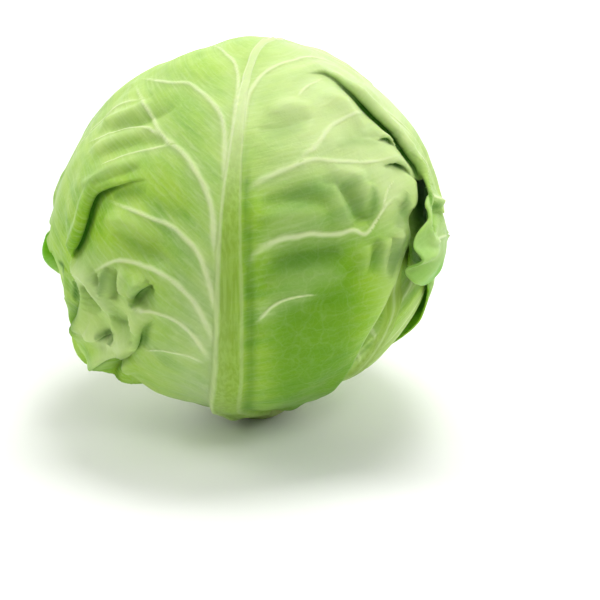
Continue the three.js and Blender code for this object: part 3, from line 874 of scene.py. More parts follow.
def frontLeaf():
    leaf = leaves[0]
    apex = frontShape["apex"]
    foldLines = [Line(onHead(fold["trace"])) for fold in folds]
    veinLines = [(halfWidth, Line(onHead(trace))) for halfWidth, trace in veinTraces]
    for halfWidth, trace in turnedVeins:
        veinLines.append((halfWidth, Line(leafDirection(leaf["azimuth"], *np.array(trace, float).T))))
    mesh = frontGrid(foldLines, [line for _, line in veinLines])
    along, across, fromEdge, lobeShare, onLobe = frontPlaces(*gridPlaces(mesh))
    d = leafDirection(leaf["azimuth"], along, across)
    crumpled = fromCrumples(d)
    d, lift, paintedShade, ridge = frontCreases(d, foldLines)

    veins = VeinField(d)
    for halfWidth, line in veinLines:
        veins.add(line, halfWidth)
    distance, side, _, _ = midribOfFront().nearest(d)
    fromRib = np.sign(side) * distance
    ribAcross = fromRib / curveThrough(frontShape["ribHalfWidths"], along)
    rib = curveThrough(frontShape["ribHeights"], along) * midribProfile(ribAcross)

    swell = layeredLumps(d * head["outerRadius"], frontShape["lumps"])
    quilt = frontShape["quilt"] * smooth(veins.distance, 0.5, frontShape["quiltWidth"])
    waves = 1 + np.sin(np.radians(along) * leaf["ripples"] + 0.7)
    waves = frontShape["marginWaves"] * (1 - smooth(fromEdge, 0, frontShape["margin"])) * waves * ~onLobe
    flare = np.exp(-(((along - frontShape["flareAt"]) / frontShape["flareWidth"]) ** 2)) * (across < 0)
    flare = frontShape["flare"] * (1 - smooth(fromEdge, 0, 5)) * flare
    loose = (1 - smooth(along, apex - 22, apex + 14)) * onLobe
    edgeShare = (1 - smooth(lobeShare, 0, 0.5)) * onLobe
    curl = curveThrough(frontShape["lobeLift"], along) * edgeShare
    curl = curl + 3.0 * loose * (1 - smooth(lobeShare, 0.4, 1.1))
    aside = curveThrough(frontShape["lobeAside"], along) * edgeShare**1.3

    inner = insideRadius(d, leaves[1:])
    radius = inner + frontShape["seat"] + swell + lift + quilt + waves + flare + curl
    radius = np.maximum(radius + np.maximum(veins.height, rib), inner - room(d) + frontShape["leastSeat"])
    onBlade = leafDirection(leaf["azimuth"], along, across)
    crossways = unit(leafDirection(leaf["azimuth"], along, across + 1) - onBlade)
    setPlaces(mesh, head["centre"] + d * radius[:, None] + crossways * aside[:, None])
    bmesh.ops.recalc_face_normals(mesh, faces=mesh.faces)
    thick = frontShape["bladeThickness"] + np.maximum(rib - 0.6, 0)
    piece = pieceFrom(mesh, "leaf_front", frontShape["greatestThickness"], thick)

    def within(name):
        return smooth(across if "Across" in name else along, *frontRegions[name])

    # Paler colour, partly painted highlight: the crown is partly paler in its own right and partly painted with
    # the sheen of the light from above, more so on the right; the pale lobe, the pale patch round the crumples
    # and the ridges are painted highlight, and part of the lobe gets less of it
    pale = within("pale") * (0.3 + 0.7 * within("paleAcross"))
    pale = pale + 0.6 * within("paleLobeAcross") + 0.5 * (1 - smooth(crumpled, 12, 34))
    pale = pale * (1 - 0.75 * within("greenLobeAcross") * within("greenLobe")) + 1.1 * ridge
    ribShade = 0.5 * np.exp(-(((ribAcross - 1.4) / 0.4) ** 2)) * (1 - within("ribShadeEnds"))
    bloom = (1 - within("bloomEnds")) * np.exp(-((distance / 30) ** 2)) * np.where(side < 0, 1.3, 0.2)
    # Painted shade: a deeper green on the lower blade just right of the midrib, where less light falls
    low = within("lowAcross") * (1 - within("lowEnds")) * (1 - 0.9 * within("lowEndsAcross"))
    # Painted light shining through the thin lobe, mostly low on it: a brighter saturated green and a faint
    # emission
    glow = 0.6 * onLobe * (1 - within("glowEnds")) + 0.25 * onLobe * loose
    addMasks(piece, {
        **veins.masks(),
        "ribAcross": ribAcross,
        "bloom": bloom,
        "paintedShade": np.maximum(paintedShade, ribShade),
        "crown": within("crown"),
        "pale": np.clip(pale, 0, 1),
        "low": low,
        "glow": glow,
    })
    addFlow(piece, d, fromRib, *frontShape["streaksSteep"])
    return piece


# The leaves beneath
lowerShape = {
    "veinStarts": (24, 40, 56, 72, 88, 104, 120, 136, 152),  # degrees along the leaf
    "leftVeinsLater": 7,
    "veinRise": 44,
    "veinReach": 66,
    "veinReachLoss": 3.2,
    "veinHalfWidth": 1.15,
    "forkHalfWidth": 0.65,
    "bladeThickness": 0.9,
    "ribThickness": 5.0,
    "ribHalfWidths": [(10, 10), (40, 8), (75, 6), (108, 4.4), (149, 3), (180, 1.8), (212, 0.8)],
    "ribHeights": [(10, 4), (75, 2.4), (149, 1.3), (212, 0.3)],
    "fineBesideVein": 2.0,
    "hiddenFrom": 26.0,  # millimetres under a leaf, past which nobody sees the veins
    "lumps": [(1.1, 30, 0), (0.6, 14, 1), (0.18, 5.5, 2)],
    "deepestLump": -0.6,
    "quilt": 0.6,
    "quiltWidth": 9,
    "margin": 9,
    "marginWaves": 0.9,
    "pressed": 0.4,  # how far a covered blade may stand up
    "pressedLump": 0.1,
    "pressedLumpSize": 12,
    "streaksSteep": (0.5, 0.5),
    "crown": (106, 150),  # degrees along, from and to
    "pale": (95, 150),
    "bloomEnds": (30, 130),
    "bloomWidth": 24,
    "seat": 1.1,
    "leastSeat": 0.9,
}


def ruledVeins(leaf):
    lines = []
    for side in (-1, 1):
        for k, start in enumerate(lowerShape["veinStarts"]):
            later = lowerShape["leftVeinsLater"] if side < 0 else 0
            start = start + later + 2.5 * math.sin(2.3 * k + leaf["azimuth"])
            rise = lowerShape["veinRise"] + 3 * math.sin(1.7 * k + leaf["azimuth"])
            reach = side * (lowerShape["veinReach"] - lowerShape["veinReachLoss"] * k)
            f = np.linspace(0, 1, 7)
            along = start + rise * f
            across = midribAcross(leaf, along) + 2 * f * (1 - f) * 0.24 * reach + f * f * reach
            lines.append((lowerShape["veinHalfWidth"] - 0.04 * k, along, across))
            # its fork
            g = np.linspace(0, 1, 5)
            forkAlong = np.interp(0.5, f, along) + 4 * g + 6 * g * g
            forkAcross = np.interp(0.5, f, across) + side * 26 * g
            lines.append((lowerShape["forkHalfWidth"], forkAlong, forkAcross))
    return [(halfWidth, Line(leafDirection(leaf["azimuth"], *place))) for halfWidth, *place in lines]


# A pointed bulge of the edge, which shows past the leaf that covers it
def tongueOf(leaf, d):
    tongue = leaf["tongue"]
    away = (d - tongue["towards"]) * head["outerRadius"]
    up = away[:, 2] / tongue["halfHeight"]
    aside = np.hypot(away[:, 0], away[:, 1]) / tongue["halfWidth"]
    return np.maximum(1 - up**2, 0) ** 0.8 * np.exp(-(aside**2))


def ordinaryLeaf(leaf, above, beneath, columns, rows):
    mesh = flatGrid(columns, rows)
    along, across, _ = bladeAngles(leaf, *gridPlaces(mesh))
    d = leafDirection(leaf["azimuth"], along, across)
    lines = ruledVeins(leaf)
    hidden = np.zeros(len(d), bool)
    for other in above:
        hidden |= (covers(other, d, 0, 2) == 1) & (other["outline"].nearest(d)[0] > lowerShape["hiddenFrom"])
    besideVein = nearestOf([line for _, line in lines], d) < lowerShape["fineBesideVein"]
    subdivideWhere(mesh, besideVein & ~hidden)

    along, across, fromEdge = bladeAngles(leaf, *gridPlaces(mesh))
    d = leafDirection(leaf["azimuth"], along, across)
    covered = np.max([covers(other, d, 10) for other in above], axis=0)
    # Painted shade under the leaves above, lighter where the front leaf's slit lets light in
    shaded = np.max([covers(other, d, 0, 4) for other in above], axis=0)
    frontAlong, frontAcross = leafAngles(leaves[0]["azimuth"], d)
    pastBlade = frontAcross - curveThrough(leaves[0]["right"], frontAlong)
    shaded = shaded * (1 - 0.65 * smooth(pastBlade, 1.0, 4.5) * (1 - smooth(frontAlong, 104, 132)))
    veins = VeinField(d)
    for halfWidth, line in lines:
        veins.add(line, halfWidth)
    ribHalf = curveThrough(lowerShape["ribHalfWidths"], along)
    ribHeight = curveThrough(lowerShape["ribHeights"], along)
    ribAcross = np.radians(across - midribAcross(leaf, along)) * head["outerRadius"] / ribHalf
    rib = evenProfile(ribAcross)

    seed = leaves.index(leaf) * 10
    where = d * head["outerRadius"]
    swell = layeredLumps(where, lowerShape["lumps"], seed)
    quilt = lowerShape["quilt"] * smooth(veins.distance, 0.5, lowerShape["quiltWidth"])
    waves = 1 + np.sin(np.radians(along) * leaf["ripples"] + leaf["azimuth"])
    waves = lowerShape["marginWaves"] * (1 - smooth(fromEdge, 0, lowerShape["margin"])) * waves
    relief = np.maximum(swell, lowerShape["deepestLump"]) + quilt + waves
    relief = relief + np.maximum(veins.height, ribHeight * rib)
    pressed = lowerShape["pressedLump"] * lumps(where, lowerShape["pressedLumpSize"], seed + 3)
    pressed = np.minimum(relief, lowerShape["pressed"] + pressed)
    inner = insideRadius(d, beneath) - room(d)
    radius = inner + lowerShape["seat"] + relief + (pressed - relief) * covered
    glow = np.zeros(len(d))
    if "tongue" in leaf:
        # The tongue stands out from the edge and is painted as lit through from behind
        glow = tongueOf(leaf, d)
        radius = radius + leaf["tongue"]["lift"] * glow
    radius = np.maximum(radius, inner + lowerShape["leastSeat"])
    setPlaces(mesh, head["centre"] + d * radius[:, None])
    bmesh.ops.recalc_face_normals(mesh, faces=mesh.faces)
    thick = lowerShape["bladeThickness"] + np.maximum(ribHeight * rib - 0.6, 0) * (1 - covered)
    piece = pieceFrom(mesh, leaf["name"], lowerShape["ribThickness"], thick)
    bloom = np.exp(-((across / lowerShape["bloomWidth"]) ** 2)) * (1 - smooth(along, *lowerShape["bloomEnds"]))
    addMasks(piece, {
        **veins.masks(),
        "ribAcross": ribAcross,
        "bloom": bloom,
        "paintedShade": 0.9 * shaded,
        "crown": smooth(along, *lowerShape["crown"]),
        "pale": 0.5 * smooth(along, *lowerShape["pale"]),
        "low": np.zeros(len(d)),
        "glow": glow,
    })
    addFlow(piece, d, ribAcross * ribHalf, *lowerShape["streaksSteep"])
    return piece


# Materials

def linear(r, g, b):
    def channel(value):
        value = value / 255
        return value / 12.92 if value <= 0.04045 else ((value + 0.055) / 1.055) ** 2.4
    return (channel(r), channel(g), channel(b), 1.0)


# Each input is linked to a socket or set to a value
def fillInputs(tree, made, inputs):
    for name, value in inputs.items():
        if isinstance(value, bpy.types.NodeSocket):
            tree.links.new(value, made.inputs[name])
        else:
            made.inputs[name].default_value = value


def node(tree, kind, inputs=None, **options):
    made = tree.nodes.new(kind)
    for name, value in options.items():
        setattr(made, name, value)
    fillInputs(tree, made, inputs or {})
    return made


def newMaterial(name):
    material = bpy.data.materials.new(name)
    material.use_nodes = True
    tree = material.node_tree
    return material, tree, tree.nodes["Principled BSDF"]


def calculate(tree, operation, *values):
    return node(tree, "ShaderNodeMath", dict(enumerate(values)), operation=operation).outputs[0]


def vectorMath(tree, operation, inputs):
    return node(tree, "ShaderNodeVectorMath", inputs, operation=operation).outputs


def product(tree, *values):
    total = values[0]
    for value in values[1:]:
        total = calculate(tree, "MULTIPLY", total, value)
    return total


def ramp(tree, value, low, high, toLow=0.0, toHigh=1.0):
    inputs = {"Value": value, "From Min": low, "From Max": high, "To Min": toLow, "To Max": toHigh}
    return node(tree, "ShaderNodeMapRange", inputs, interpolation_type="SMOOTHSTEP").outputs["Result"]


def fade(tree, value, low, high):
    return ramp(tree, value, low, high, 1.0, 0.0)


def mixColour(tree, factor, a, b):
    return node(tree, "ShaderNodeMix", {0: factor, 6: a, 7: b}, data_type="RGBA").outputs[2]


def objectPlaces(tree):
    return node(tree, "ShaderNodeTexCoord").outputs["Object"]


def attribute(tree, name, output="Fac"):
    return node(tree, "ShaderNodeAttribute", attribute_name=name).outputs[output]


def noise(tree, where, scale, detail, output="Fac"):
    made = node(tree, "ShaderNodeTexNoise", {"Vector": where, "Scale": scale, "Detail": detail})
    return made.outputs[output]


def stretched(tree, where, scale):
    return node(tree, "ShaderNodeMapping", {"Vector": where, "Scale": scale}).outputs[0]


def bump(tree, heights, strength, distance):
    inputs = {"Height": heights, "Strength": strength, "Distance": distance}
    return node(tree, "ShaderNodeBump", inputs).outputs["Normal"]


# A node group with named inputs and outputs; fill makes its nodes and gives the socket for each output
def nodeGroup(name, inputs, outputs, fill):
    group = bpy.data.node_groups.new(name, "ShaderNodeTree")
    for label, kind in inputs.items():
        group.interface.new_socket(name=label, in_out="INPUT", socket_type="NodeSocket" + kind)
    for label in outputs:
        group.interface.new_socket(name=label, in_out="OUTPUT", socket_type="NodeSocketFloat")
    node(group, "NodeGroupOutput", fill(group, node(group, "NodeGroupInput").outputs))
    return group


def placeGroup(tree, group, inputs):
    return node(tree, "ShaderNodeGroup", inputs, node_tree=group).outputs


# A net of fine veins
def fillNet(tree, given):
    inputs = {"Vector": given["Vector"], "Scale": given["Scale"]}
    edge = node(tree, "ShaderNodeTexVoronoi", inputs, feature="DISTANCE_TO_EDGE")
    return {"Net": fade(tree, edge.outputs[0], 0.0, given["Width"])}


net = nodeGroup("net", {"Vector": "Vector", "Scale": "Float", "Width": "Float"}, ["Net"], fillNet)


# What varies over a leaf without regard to its veins: clouds, specks, streaks and two nets
def fillPatterns(tree, given):
    where, flow = given["Vector"], given["Flow"]
    swirl = noise(tree, where, given["Swirl Scale"], 3.0, "Color")
    shift = vectorMath(tree, "SCALE", {0: swirl, "Scale": given["Swirl"]})[0]
    bent = vectorMath(tree, "ADD", {0: where, 1: shift})[0]
    coarse = {"Vector": bent, "Scale": given["Net Scale"], "Width": given["Net Width"]}
    fine = {"Vector": bent, "Scale": given["Fine Net Scale"], "Width": given["Fine Net Width"]}
    return {
        "Cloud": noise(tree, where, given["Cloud Scale"], 3.0),
        "Speck": noise(tree, where, given["Speck Scale"], 4.0),
        "Grain": noise(tree, where, given["Grain Scale"], 2.0),
        "Streak": noise(tree, stretched(tree, flow, given["Streak Stretch"]), 1.0, 4.0),
        "Fine Streak": noise(tree, stretched(tree, flow, given["Fine Streak Stretch"]), 1.0, 3.0),
        "Rib Streak": noise(tree, stretched(tree, where, given["Rib Stretch"]), 1.0, 3.0),
        "Net": placeGroup(tree, net, coarse)["Net"],
        "Fine Net": placeGroup(tree, net, fine)["Net"],
    }


leafPatterns = nodeGroup(
    "leaf patterns",
    {
        "Vector": "Vector", "Flow": "Vector", "Cloud Scale": "Float", "Speck Scale": "Float",
        "Grain Scale": "Float", "Streak Stretch": "Vector", "Fine Streak Stretch": "Vector",
        "Rib Stretch": "Vector", "Swirl Scale": "Float", "Swirl": "Float", "Net Scale": "Float",
        "Net Width": "Float", "Fine Net Scale": "Float", "Fine Net Width": "Float",
    },
    ["Cloud", "Speck", "Grain", "Streak", "Fine Streak", "Rib Streak", "Net", "Fine Net"],
    fillPatterns,
)


# The side veins and the midrib with its crest and its rim, all with slightly feathered edges
def fillVeins(tree, given):
    speck = given["Speck"]
    shown = given["Vein Shown"]
    width = product(tree, given["Vein Half"], calculate(tree, "MULTIPLY_ADD", speck, 0.7, 0.65))
    inVein = calculate(tree, "DIVIDE", given["Vein Away"], width)
    haloStreak = calculate(tree, "MULTIPLY_ADD", given["Fine Streak"], 1.1, 0.2)

    def band(middle, feather, low, high):
        fromMiddle = calculate(tree, "ABSOLUTE", calculate(tree, "SUBTRACT", given["Rib Across"], middle))
        return fade(tree, calculate(tree, "MULTIPLY_ADD", speck, feather, fromMiddle), low, high)

    return {
        "Vein": product(tree, fade(tree, inVein, 0.3, 1.6), shown),
        "Core": product(tree, fade(tree, inVein, 0.2, 0.9), shown),
        "Halo": product(tree, given["Vein Halo"], haloStreak),
        "Rib": band(0.0, 0.2, 0.85, 1.25),
        # The crest line is the midrib's paler edge with a painted highlight of the light on it
        "Crest": band(given["Crest Across"], 0.12, 0.1, 0.34),
        "Rim": band(given["Rim Across"], 0.1, 0.08, 0.24),
    }


leafVeins = nodeGroup(
    "leaf veins",
    dict.fromkeys(["Vein Away", "Vein Half", "Vein Shown", "Vein Halo", "Rib Across", "Speck", "Fine Streak",
                   "Crest Across", "Rim Across"], "Float"),
    ["Vein", "Core", "Halo", "Rib", "Crest", "Rim"],
    fillVeins,
)

frontLeafLook = {
    "bladeDark": linear(106, 164, 8),
    "bladeLight": linear(148, 196, 36),
    "bladeYellow": linear(170, 208, 50),
    # also painted highlight where the pale mask lays it on
    "pale": linear(206, 226, 160),
    # painted shade of the lower blade
    "low": linear(88, 144, 0),
    "bloom": linear(176, 200, 140),
    # painted shade in folds, creases, deep places and under other leaves
    "deepShade": linear(44, 102, 0),
    # painted light shining through the thin lobe and the tongue
    "glow": linear(104, 178, 0),
    "vein": linear(216, 232, 172),
    "veinCore": linear(228, 240, 192),
    "rib": linear(152, 186, 78),
    "ribDark": linear(136, 170, 56),
    "yellowStrength": 0.55,
    "streakStrength": 0.22,
    "lowStrength": 0.8,
    "paleStrength": 0.78,
    "netStrength": 0.05,
    "fineNetStrength": 0.04,
    "haloStrength": 0.5,
    "veinStrength": 0.6,
    "coreStrength": 0.22,
    "ribStrength": 0.85,
    "ribCrownStrength": 0.8,
    "crestStrength": 0.38,
    "rimStrength": 0.16,
    "crestAcross": -0.76,  # in half widths of the midrib
    "rimAcross": 0.84,
    "throughGlow": 0.05,
    "patterns": {
        "Cloud Scale": 28.0,
        "Speck Scale": 190.0,
        "Grain Scale": 900.0,
        "Streak Stretch": (0.035, 0.16, 1.0),
        "Fine Streak Stretch": (0.12, 0.7, 1.0),
        "Rib Stretch": (700.0, 700.0, 45.0),
        "Swirl Scale": 70.0,
        "Swirl": 0.012,
        "Net Scale": 120.0,
        "Net Width": 0.09,
        "Fine Net Scale": 360.0,
        "Fine Net Width": 0.12,
    },
    "roughness": 0.34,
    "speckRoughness": 0.25,
    "creaseRoughness": 0.45,
    "specular": 0.16,
    "sheen": 0.05,
    "sheenRoughness": 0.35,
    "subsurface": 0.3,
    "subsurfaceRadius": (0.7, 1.0, 0.25),
    "subsurfaceScale": 0.003,
    "bump": 0.6,
    "bumpDistance": 0.001,
    "veinBump": 0.35,
    "bladeBumps": {"Net": 0.03, "Fine Net": 0.02, "Speck": 0.35, "Grain": 0.07},
    "streakBumps": {"Streak": 0.7, "Fine Streak": 0.3},
}
wrapperLook = {
    **frontLeafLook,
    "bladeDark": linear(104, 162, 8),
    "bladeLight": linear(144, 194, 34),
    "bloom": linear(150, 188, 76),
    "crestAcross": 0.0,
    "crestStrength": 0.2,
    "rimStrength": 0.0,
    "specular": 0.14,
    "sheen": 0.0,
    "veinStrength": 0.3,
    "coreStrength": 0.1,
}


def leafMaterial(name, look):
    material, tree, shader = newMaterial(name)
    mask = {label: attribute(tree, label) for label in ("bloom", "low", "pale", "paintedShade", "glow", "crown")}
    patterns = placeGroup(tree, leafPatterns, {
        "Vector": objectPlaces(tree),
        "Flow": attribute(tree, "flow", "Vector"),
        **look["patterns"],
    })
    speck = patterns["Speck"]
    veins = placeGroup(tree, leafVeins, {
        "Vein Away": attribute(tree, "veinAway"),
        "Vein Half": attribute(tree, "veinHalf"),
        "Vein Shown": attribute(tree, "veinShown"),
        "Vein Halo": attribute(tree, "veinHalo"),
        "Rib Across": attribute(tree, "ribAcross"),
        "Speck": speck,
        "Fine Streak": patterns["Fine Streak"],
        "Crest Across": look["crestAcross"],
        "Rim Across": look["rimAcross"],
    })

    band = mixColour(tree, ramp(tree, patterns["Rib Streak"], 0.35, 0.65), look["ribDark"], look["rib"])
    band = mixColour(tree, product(tree, mask["crown"], look["ribCrownStrength"]), band, look["vein"])
    speckled = calculate(tree, "MULTIPLY_ADD", speck, 0.7, 0.35)
    colour = mixColour(tree, ramp(tree, patterns["Cloud"], 0.32, 0.68), look["bladeDark"], look["bladeLight"])
    # Some layers are painted light and shade: the low green, the deep shade and the glow wholly, the pale layer
    # and the crest in part
    for factor, strength, over in (
        (ramp(tree, patterns["Streak"], 0.35, 0.7), "yellowStrength", look["bladeYellow"]),
        (ramp(tree, patterns["Fine Streak"], 0.45, 0.75), "streakStrength", look["pale"]),
        (product(tree, mask["bloom"], speckled), None, look["bloom"]),
        (mask["low"], "lowStrength", look["low"]),
        (mask["pale"], "paleStrength", look["pale"]),
        (patterns["Net"], "netStrength", look["vein"]),
        (patterns["Fine Net"], "fineNetStrength", look["vein"]),
        (veins["Halo"], "haloStrength", look["pale"]),
        (mask["paintedShade"], None, look["deepShade"]),
        (mask["glow"], None, look["glow"]),
        (veins["Vein"], "veinStrength", look["vein"]),
        (veins["Core"], "coreStrength", look["veinCore"]),
        (veins["Rib"], "ribStrength", band),
        (veins["Crest"], "crestStrength", look["veinCore"]),
        (veins["Rim"], "rimStrength", look["veinCore"]),
    ):
        factor = product(tree, factor, look[strength]) if strength else factor
        colour = mixColour(tree, factor, colour, over)

    rough = calculate(tree, "MULTIPLY_ADD", speck, look["speckRoughness"], look["roughness"])
    rough = calculate(tree, "MULTIPLY_ADD", mask["paintedShade"], look["creaseRoughness"], rough)
    heights = product(tree, veins["Vein"], look["veinBump"])
    offRib = calculate(tree, "SUBTRACT", 1.0, veins["Rib"])
    for label, share in look["bladeBumps"].items():
        heights = calculate(tree, "MULTIPLY_ADD", patterns[label], share, heights)
    for label, share in look["streakBumps"].items():
        heights = calculate(tree, "MULTIPLY_ADD", product(tree, patterns[label], offRib), share, heights)
    fillInputs(tree, shader, {
        "Base Color": colour,
        # Painted light: where the glow mask lies the leaf also faintly emits light
        "Emission Color": mixColour(tree, mask["glow"], (0, 0, 0, 1), look["glow"]),
        "Emission Strength": look["throughGlow"],
        "Roughness": rough,
        "Normal": bump(tree, heights, look["bump"], look["bumpDistance"]),
        "Subsurface Weight": look["subsurface"],
        "Subsurface Radius": look["subsurfaceRadius"],
        "Subsurface Scale": look["subsurfaceScale"],
        "Specular IOR Level": look["specular"],
        "Sheen Weight": look["sheen"],
        "Sheen Roughness": look["sheenRoughness"],
    })
    return material


def finishPiece(piece, material):
    piece.data.materials.append(material)
    print(piece.name, len(piece.data.polygons))


finishPiece(frontLeaf(), leafMaterial("front leaf", frontLeafLook))
wrapper = leafMaterial("wrapper leaf", wrapperLook)
gridSizes = [(130, 150), (130, 150), (100, 110), (80, 90), (70, 80)]
for index, (columns, rows) in enumerate(gridSizes, start=1):
    finishPiece(ordinaryLeaf(leaves[index], leaves[:index], leaves[index + 1:], columns, rows), wrapper)


# The heart: packed inner leaves, whose edges show as low steps that wind round it
heartShape = {
    "foldStep": 1.6,
    "lapLoss": 0.25,
    "lowest": 23.9,
    "inset": 0.3,
    "azimuths": (20, 157, 295, 72),
    "tip": 205,
    "edge": [(0, 20), (90, 62), (180, 50)],
    "lump": 0.25,
    "lumpSize": 7,
}
heartLook = {
    "light": linear(214, 228, 150),
    "dark": linear(188, 212, 116),
    "vein": linear(232, 240, 194),
    "veinStrength": 0.35,
    "cloudScale": 60.0,
    "netScale": 70.0,
    "netWidth": 0.06,
    "bump": 0.5,
    "roughness": 0.5,
}


def heartPiece():
    mesh = bmesh.new()
    bmesh.ops.create_icosphere(mesh, subdivisions=6, radius=1)
    mesh.verts.ensure_lookup_table()
    d = unit(np.array([v.co[:] for v in mesh.verts]))
    right = heartShape["edge"]
    inner = {"tip": heartShape["tip"], "left": [(along, -across) for along, across in right],
             "right": right, "reach": right}
    highest = np.zeros(len(d))
    for k, azimuth in enumerate(heartShape["azimuths"]):
        leaf = {**inner, "azimuth": azimuth}
        highest = np.maximum(highest, covers(leaf, d, 0) * (1 - heartShape["lapLoss"] * k))
    radius = heartSurface(d) - heartShape["foldStep"] * (1 - highest) - room(d) - heartShape["inset"]
    radius = radius + heartShape["lump"] * lumps(d * head["outerRadius"], heartShape["lumpSize"], 71)
    places = head["centre"] + d * radius[:, None]
    places[:, 2] = np.maximum(places[:, 2], heartShape["lowest"])
    setPlaces(mesh, places)
    return pieceFrom(mesh, "heart")


def heartMaterial():
    look = heartLook
    material, tree, shader = newMaterial("heart")
    where = objectPlaces(tree)
    cloud = noise(tree, where, look["cloudScale"], 5.0)
    netInputs = {"Vector": where, "Scale": look["netScale"], "Width": look["netWidth"]}
    veins = placeGroup(tree, net, netInputs)["Net"]
    colour = mixColour(tree, ramp(tree, cloud, 0.3, 0.7), look["dark"], look["light"])
    fillInputs(tree, shader, {
        "Base Color": mixColour(tree, product(tree, veins, look["veinStrength"]), colour, look["vein"]),
        "Normal": bump(tree, cloud, look["bump"], 0.001),
        "Roughness": look["roughness"],
    })
    return material


# The stalk: a short stump with five soft furrows and a fibrous cut face that is rounded at its rim
stalkShape = {
    "radius": 15.9,
    "top": 23.3,
    "waist": 0.3,
    "rim": [(0.3, 0.15), (0.0, 0.8)],  # inwards from the side, and up
    "furrows": 5,
    "furrowDepth": 0.025,
    "dish": 0.25,
    "dishHeight": 0.4,
    "grooves": 41,
    "grooveDepth": 0.12,
    "around": 144,
    "rings": 26,
    "ups": 22,
}
# Pith in the middle of the cut face, a woody ring round it and a green rind, all a little dry
stalkLook = {
    "pith": linear(236, 236, 204),
    "ring": linear(206, 208, 150),
    "rind": linear(176, 200, 118),
    "dry": linear(178, 160, 104),
    # from the middle outwards, in metres: where each colour begins and is full
    "rings": [(0.0075, 0.0095, "ring"), (0.0115, 0.0135, "pith"), (0.0142, 0.0148, "rind")],
    "wander": 0.004,
    "patchScale": 140.0,
    "fibreStretch": (900.0, 900.0, 60.0),
    "patchStrength": 0.55,
    "fibreStrength": 0.25,
    "bump": 0.8,
    "roughness": 0.75,
}


def stalkPiece():
    side, top = stalkShape["radius"], stalkShape["top"]
    rimHeight = stalkShape["rim"][-1][1]
    profile = [(side * k / stalkShape["rings"], 0.0) for k in range(stalkShape["rings"])]
    profile += [(side - inwards, up) for inwards, up in stalkShape["rim"]]
    for share in np.linspace(0, 1, stalkShape["ups"] + 1)[1:]:
        waist = stalkShape["waist"] * math.sin(math.pi * share)
        profile.append((side - waist, rimHeight + (top - rimHeight) * share))
    profile.append((0.0, top))
    mesh = bmesh.new()
    points = [mesh.verts.new((radius, 0, height)) for radius, height in profile]
    edges = [mesh.edges.new(pair) for pair in zip(points, points[1:])]
    bmesh.ops.spin(mesh, geom=points + edges, cent=(0, 0, 0), axis=(0, 0, 1), angle=2 * math.pi,
                   steps=stalkShape["around"], use_merge=True)
    bmesh.ops.remove_doubles(mesh, verts=mesh.verts, dist=0.002)
    x, y, height = np.array([v.co[:] for v in mesh.verts]).T
    radius = np.hypot(x, y)
    angle = np.arctan2(y, x)
    lobed = radius * (1 - stalkShape["furrowDepth"] * (1 - np.cos(stalkShape["furrows"] * angle)))
    fibres = lumps(np.stack([lobed * np.cos(angle), lobed * np.sin(angle), 0 * angle], 1), 1.6, 81)
    dish = stalkShape["dish"] * np.exp(-((height / stalkShape["dishHeight"]) ** 2)) * (0.5 + 0.5 * fibres)
    grooves = stalkShape["grooveDepth"] * np.sin(stalkShape["grooves"] * angle + 0.1 * height) * (height > 1)
    offAxis = radius > 0.01
    lobed = (lobed - grooves) * offAxis
    setPlaces(mesh, np.stack([lobed * np.cos(angle), lobed * np.sin(angle), height + dish * offAxis], 1))
    bmesh.ops.recalc_face_normals(mesh, faces=mesh.faces)
    return pieceFrom(mesh, "stalk")


def stalkMaterial():
    look = stalkLook
    material, tree, shader = newMaterial("stalk")
    where = objectPlaces(tree)
    flat = stretched(tree, where, (1.0, 1.0, 0.0))
    away = vectorMath(tree, "LENGTH", {0: flat})["Value"]
    fibres = noise(tree, stretched(tree, where, look["fibreStretch"]), 1.0, 3.0)
    patches = noise(tree, where, look["patchScale"], 5.0)
    away = calculate(tree, "MULTIPLY_ADD", calculate(tree, "SUBTRACT", patches, 0.5), look["wander"], away)
    colour = look["pith"]
    for low, high, shade in look["rings"]:
        colour = mixColour(tree, ramp(tree, away, low, high), colour, look[shade])
    for mask, strength in (
        (ramp(tree, patches, 0.52, 0.72), look["patchStrength"]),
        (ramp(tree, fibres, 0.55, 0.75), look["fibreStrength"]),
    ):
        colour = mixColour(tree, product(tree, mask, strength), colour, look["dry"])
    heights = calculate(tree, "MULTIPLY_ADD", patches, 0.6, product(tree, fibres, 0.8))
    fillInputs(tree, shader, {
        "Base Color": colour,
        "Normal": bump(tree, heights, look["bump"], 0.0006),
        "Roughness": look["roughness"],
    })
    return material


finishPiece(heartPiece(), heartMaterial())
finishPiece(stalkPiece(), stalkMaterial())


# Floor, light and world

# One sheet, in metres: a level floor that bends up into a bright wall far behind
stage = {
    "front": -3.0,
    "bend": 1.3,
    "bendRadius": 0.9,
    "bendSteps": 12,
    "height": 4.0,
    "halfWidth": 5.0,
    "sink": 0.0002,
    "colour": (0.93, 0.93, 0.92, 1),
    "roughness": 0.9,
    "glowFrom": 0.1,
    "glowTo": 1.6,
    "wallGlow": 0.9,
}


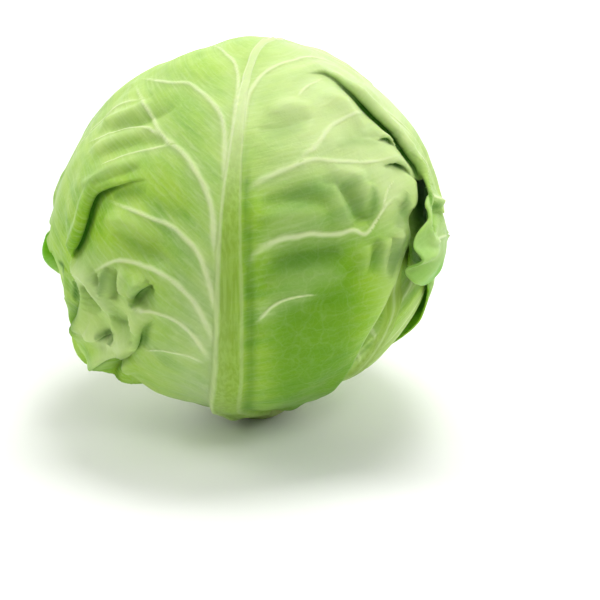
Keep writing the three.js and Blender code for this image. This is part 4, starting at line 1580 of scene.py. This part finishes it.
def makeStage():
    profile = [(stage["front"], 0.0), (0.0, 0.0), (stage["bend"], 0.0)]
    for step in range(1, stage["bendSteps"] + 1):
        angle = math.pi / 2 * step / stage["bendSteps"]
        forward = stage["bend"] + stage["bendRadius"] * math.sin(angle)
        profile.append((forward, stage["bendRadius"] * (1 - math.cos(angle))))
    profile.append((profile[-1][0], stage["height"]))
    mesh = flatGrid(1, len(profile) - 1)
    for vertex in mesh.verts:
        forward, up = profile[round((vertex.co.y + 1) / 2 * (len(profile) - 1))]
        vertex.co = (vertex.co.x * stage["halfWidth"], forward, up - stage["sink"])
    floor = objectFrom(mesh, "floor")
    material, tree, shader = newMaterial("floor")
    depth = node(tree, "ShaderNodeSeparateXYZ", {0: objectPlaces(tree)}).outputs["Y"]
    fillInputs(tree, shader, {
        "Base Color": stage["colour"],
        "Roughness": stage["roughness"],
        "Emission Color": ramp(tree, depth, stage["glowFrom"], stage["glowTo"]),
        "Emission Strength": stage["wallGlow"],
    })
    floor.data.materials.append(material)
    print("stage")


# Square soft lights, aimed at the head; metres and watts
lights = [
    {"name": "top", "place": (0.15, 0.1, 1.3), "size": 0.5, "power": 9.3},
    {"name": "left", "place": (-1.2, 0.0, 0.9), "size": 0.5, "power": 7},
    {"name": "right", "place": (1.25, -0.2, 0.8), "size": 0.5, "power": 4},
    {"name": "front", "place": (0.5, -1.1, 1.1), "size": 0.6, "power": 7},
]
worldLight = 0.17


def makeLights():
    for settings in lights:
        light = bpy.data.objects.new(settings["name"], bpy.data.lights.new(settings["name"], "AREA"))
        bpy.context.scene.collection.objects.link(light)
        light.data.size = settings["size"]
        light.data.energy = settings["power"]
        light.location = settings["place"]
        aim = Vector(head["centre"] * millimetre) - light.location
        light.rotation_euler = aim.to_track_quat("-Z", "Y").to_euler()
    world = bpy.data.worlds.new("studio")
    bpy.context.scene.world = world
    world.use_nodes = True
    background = world.node_tree.nodes["Background"]
    fillInputs(world.node_tree, background, {"Color": (1, 1, 1, 1), "Strength": worldLight})
    bpy.context.scene.view_settings.view_transform = "Standard"
    print("lights")


makeStage()
makeLights()
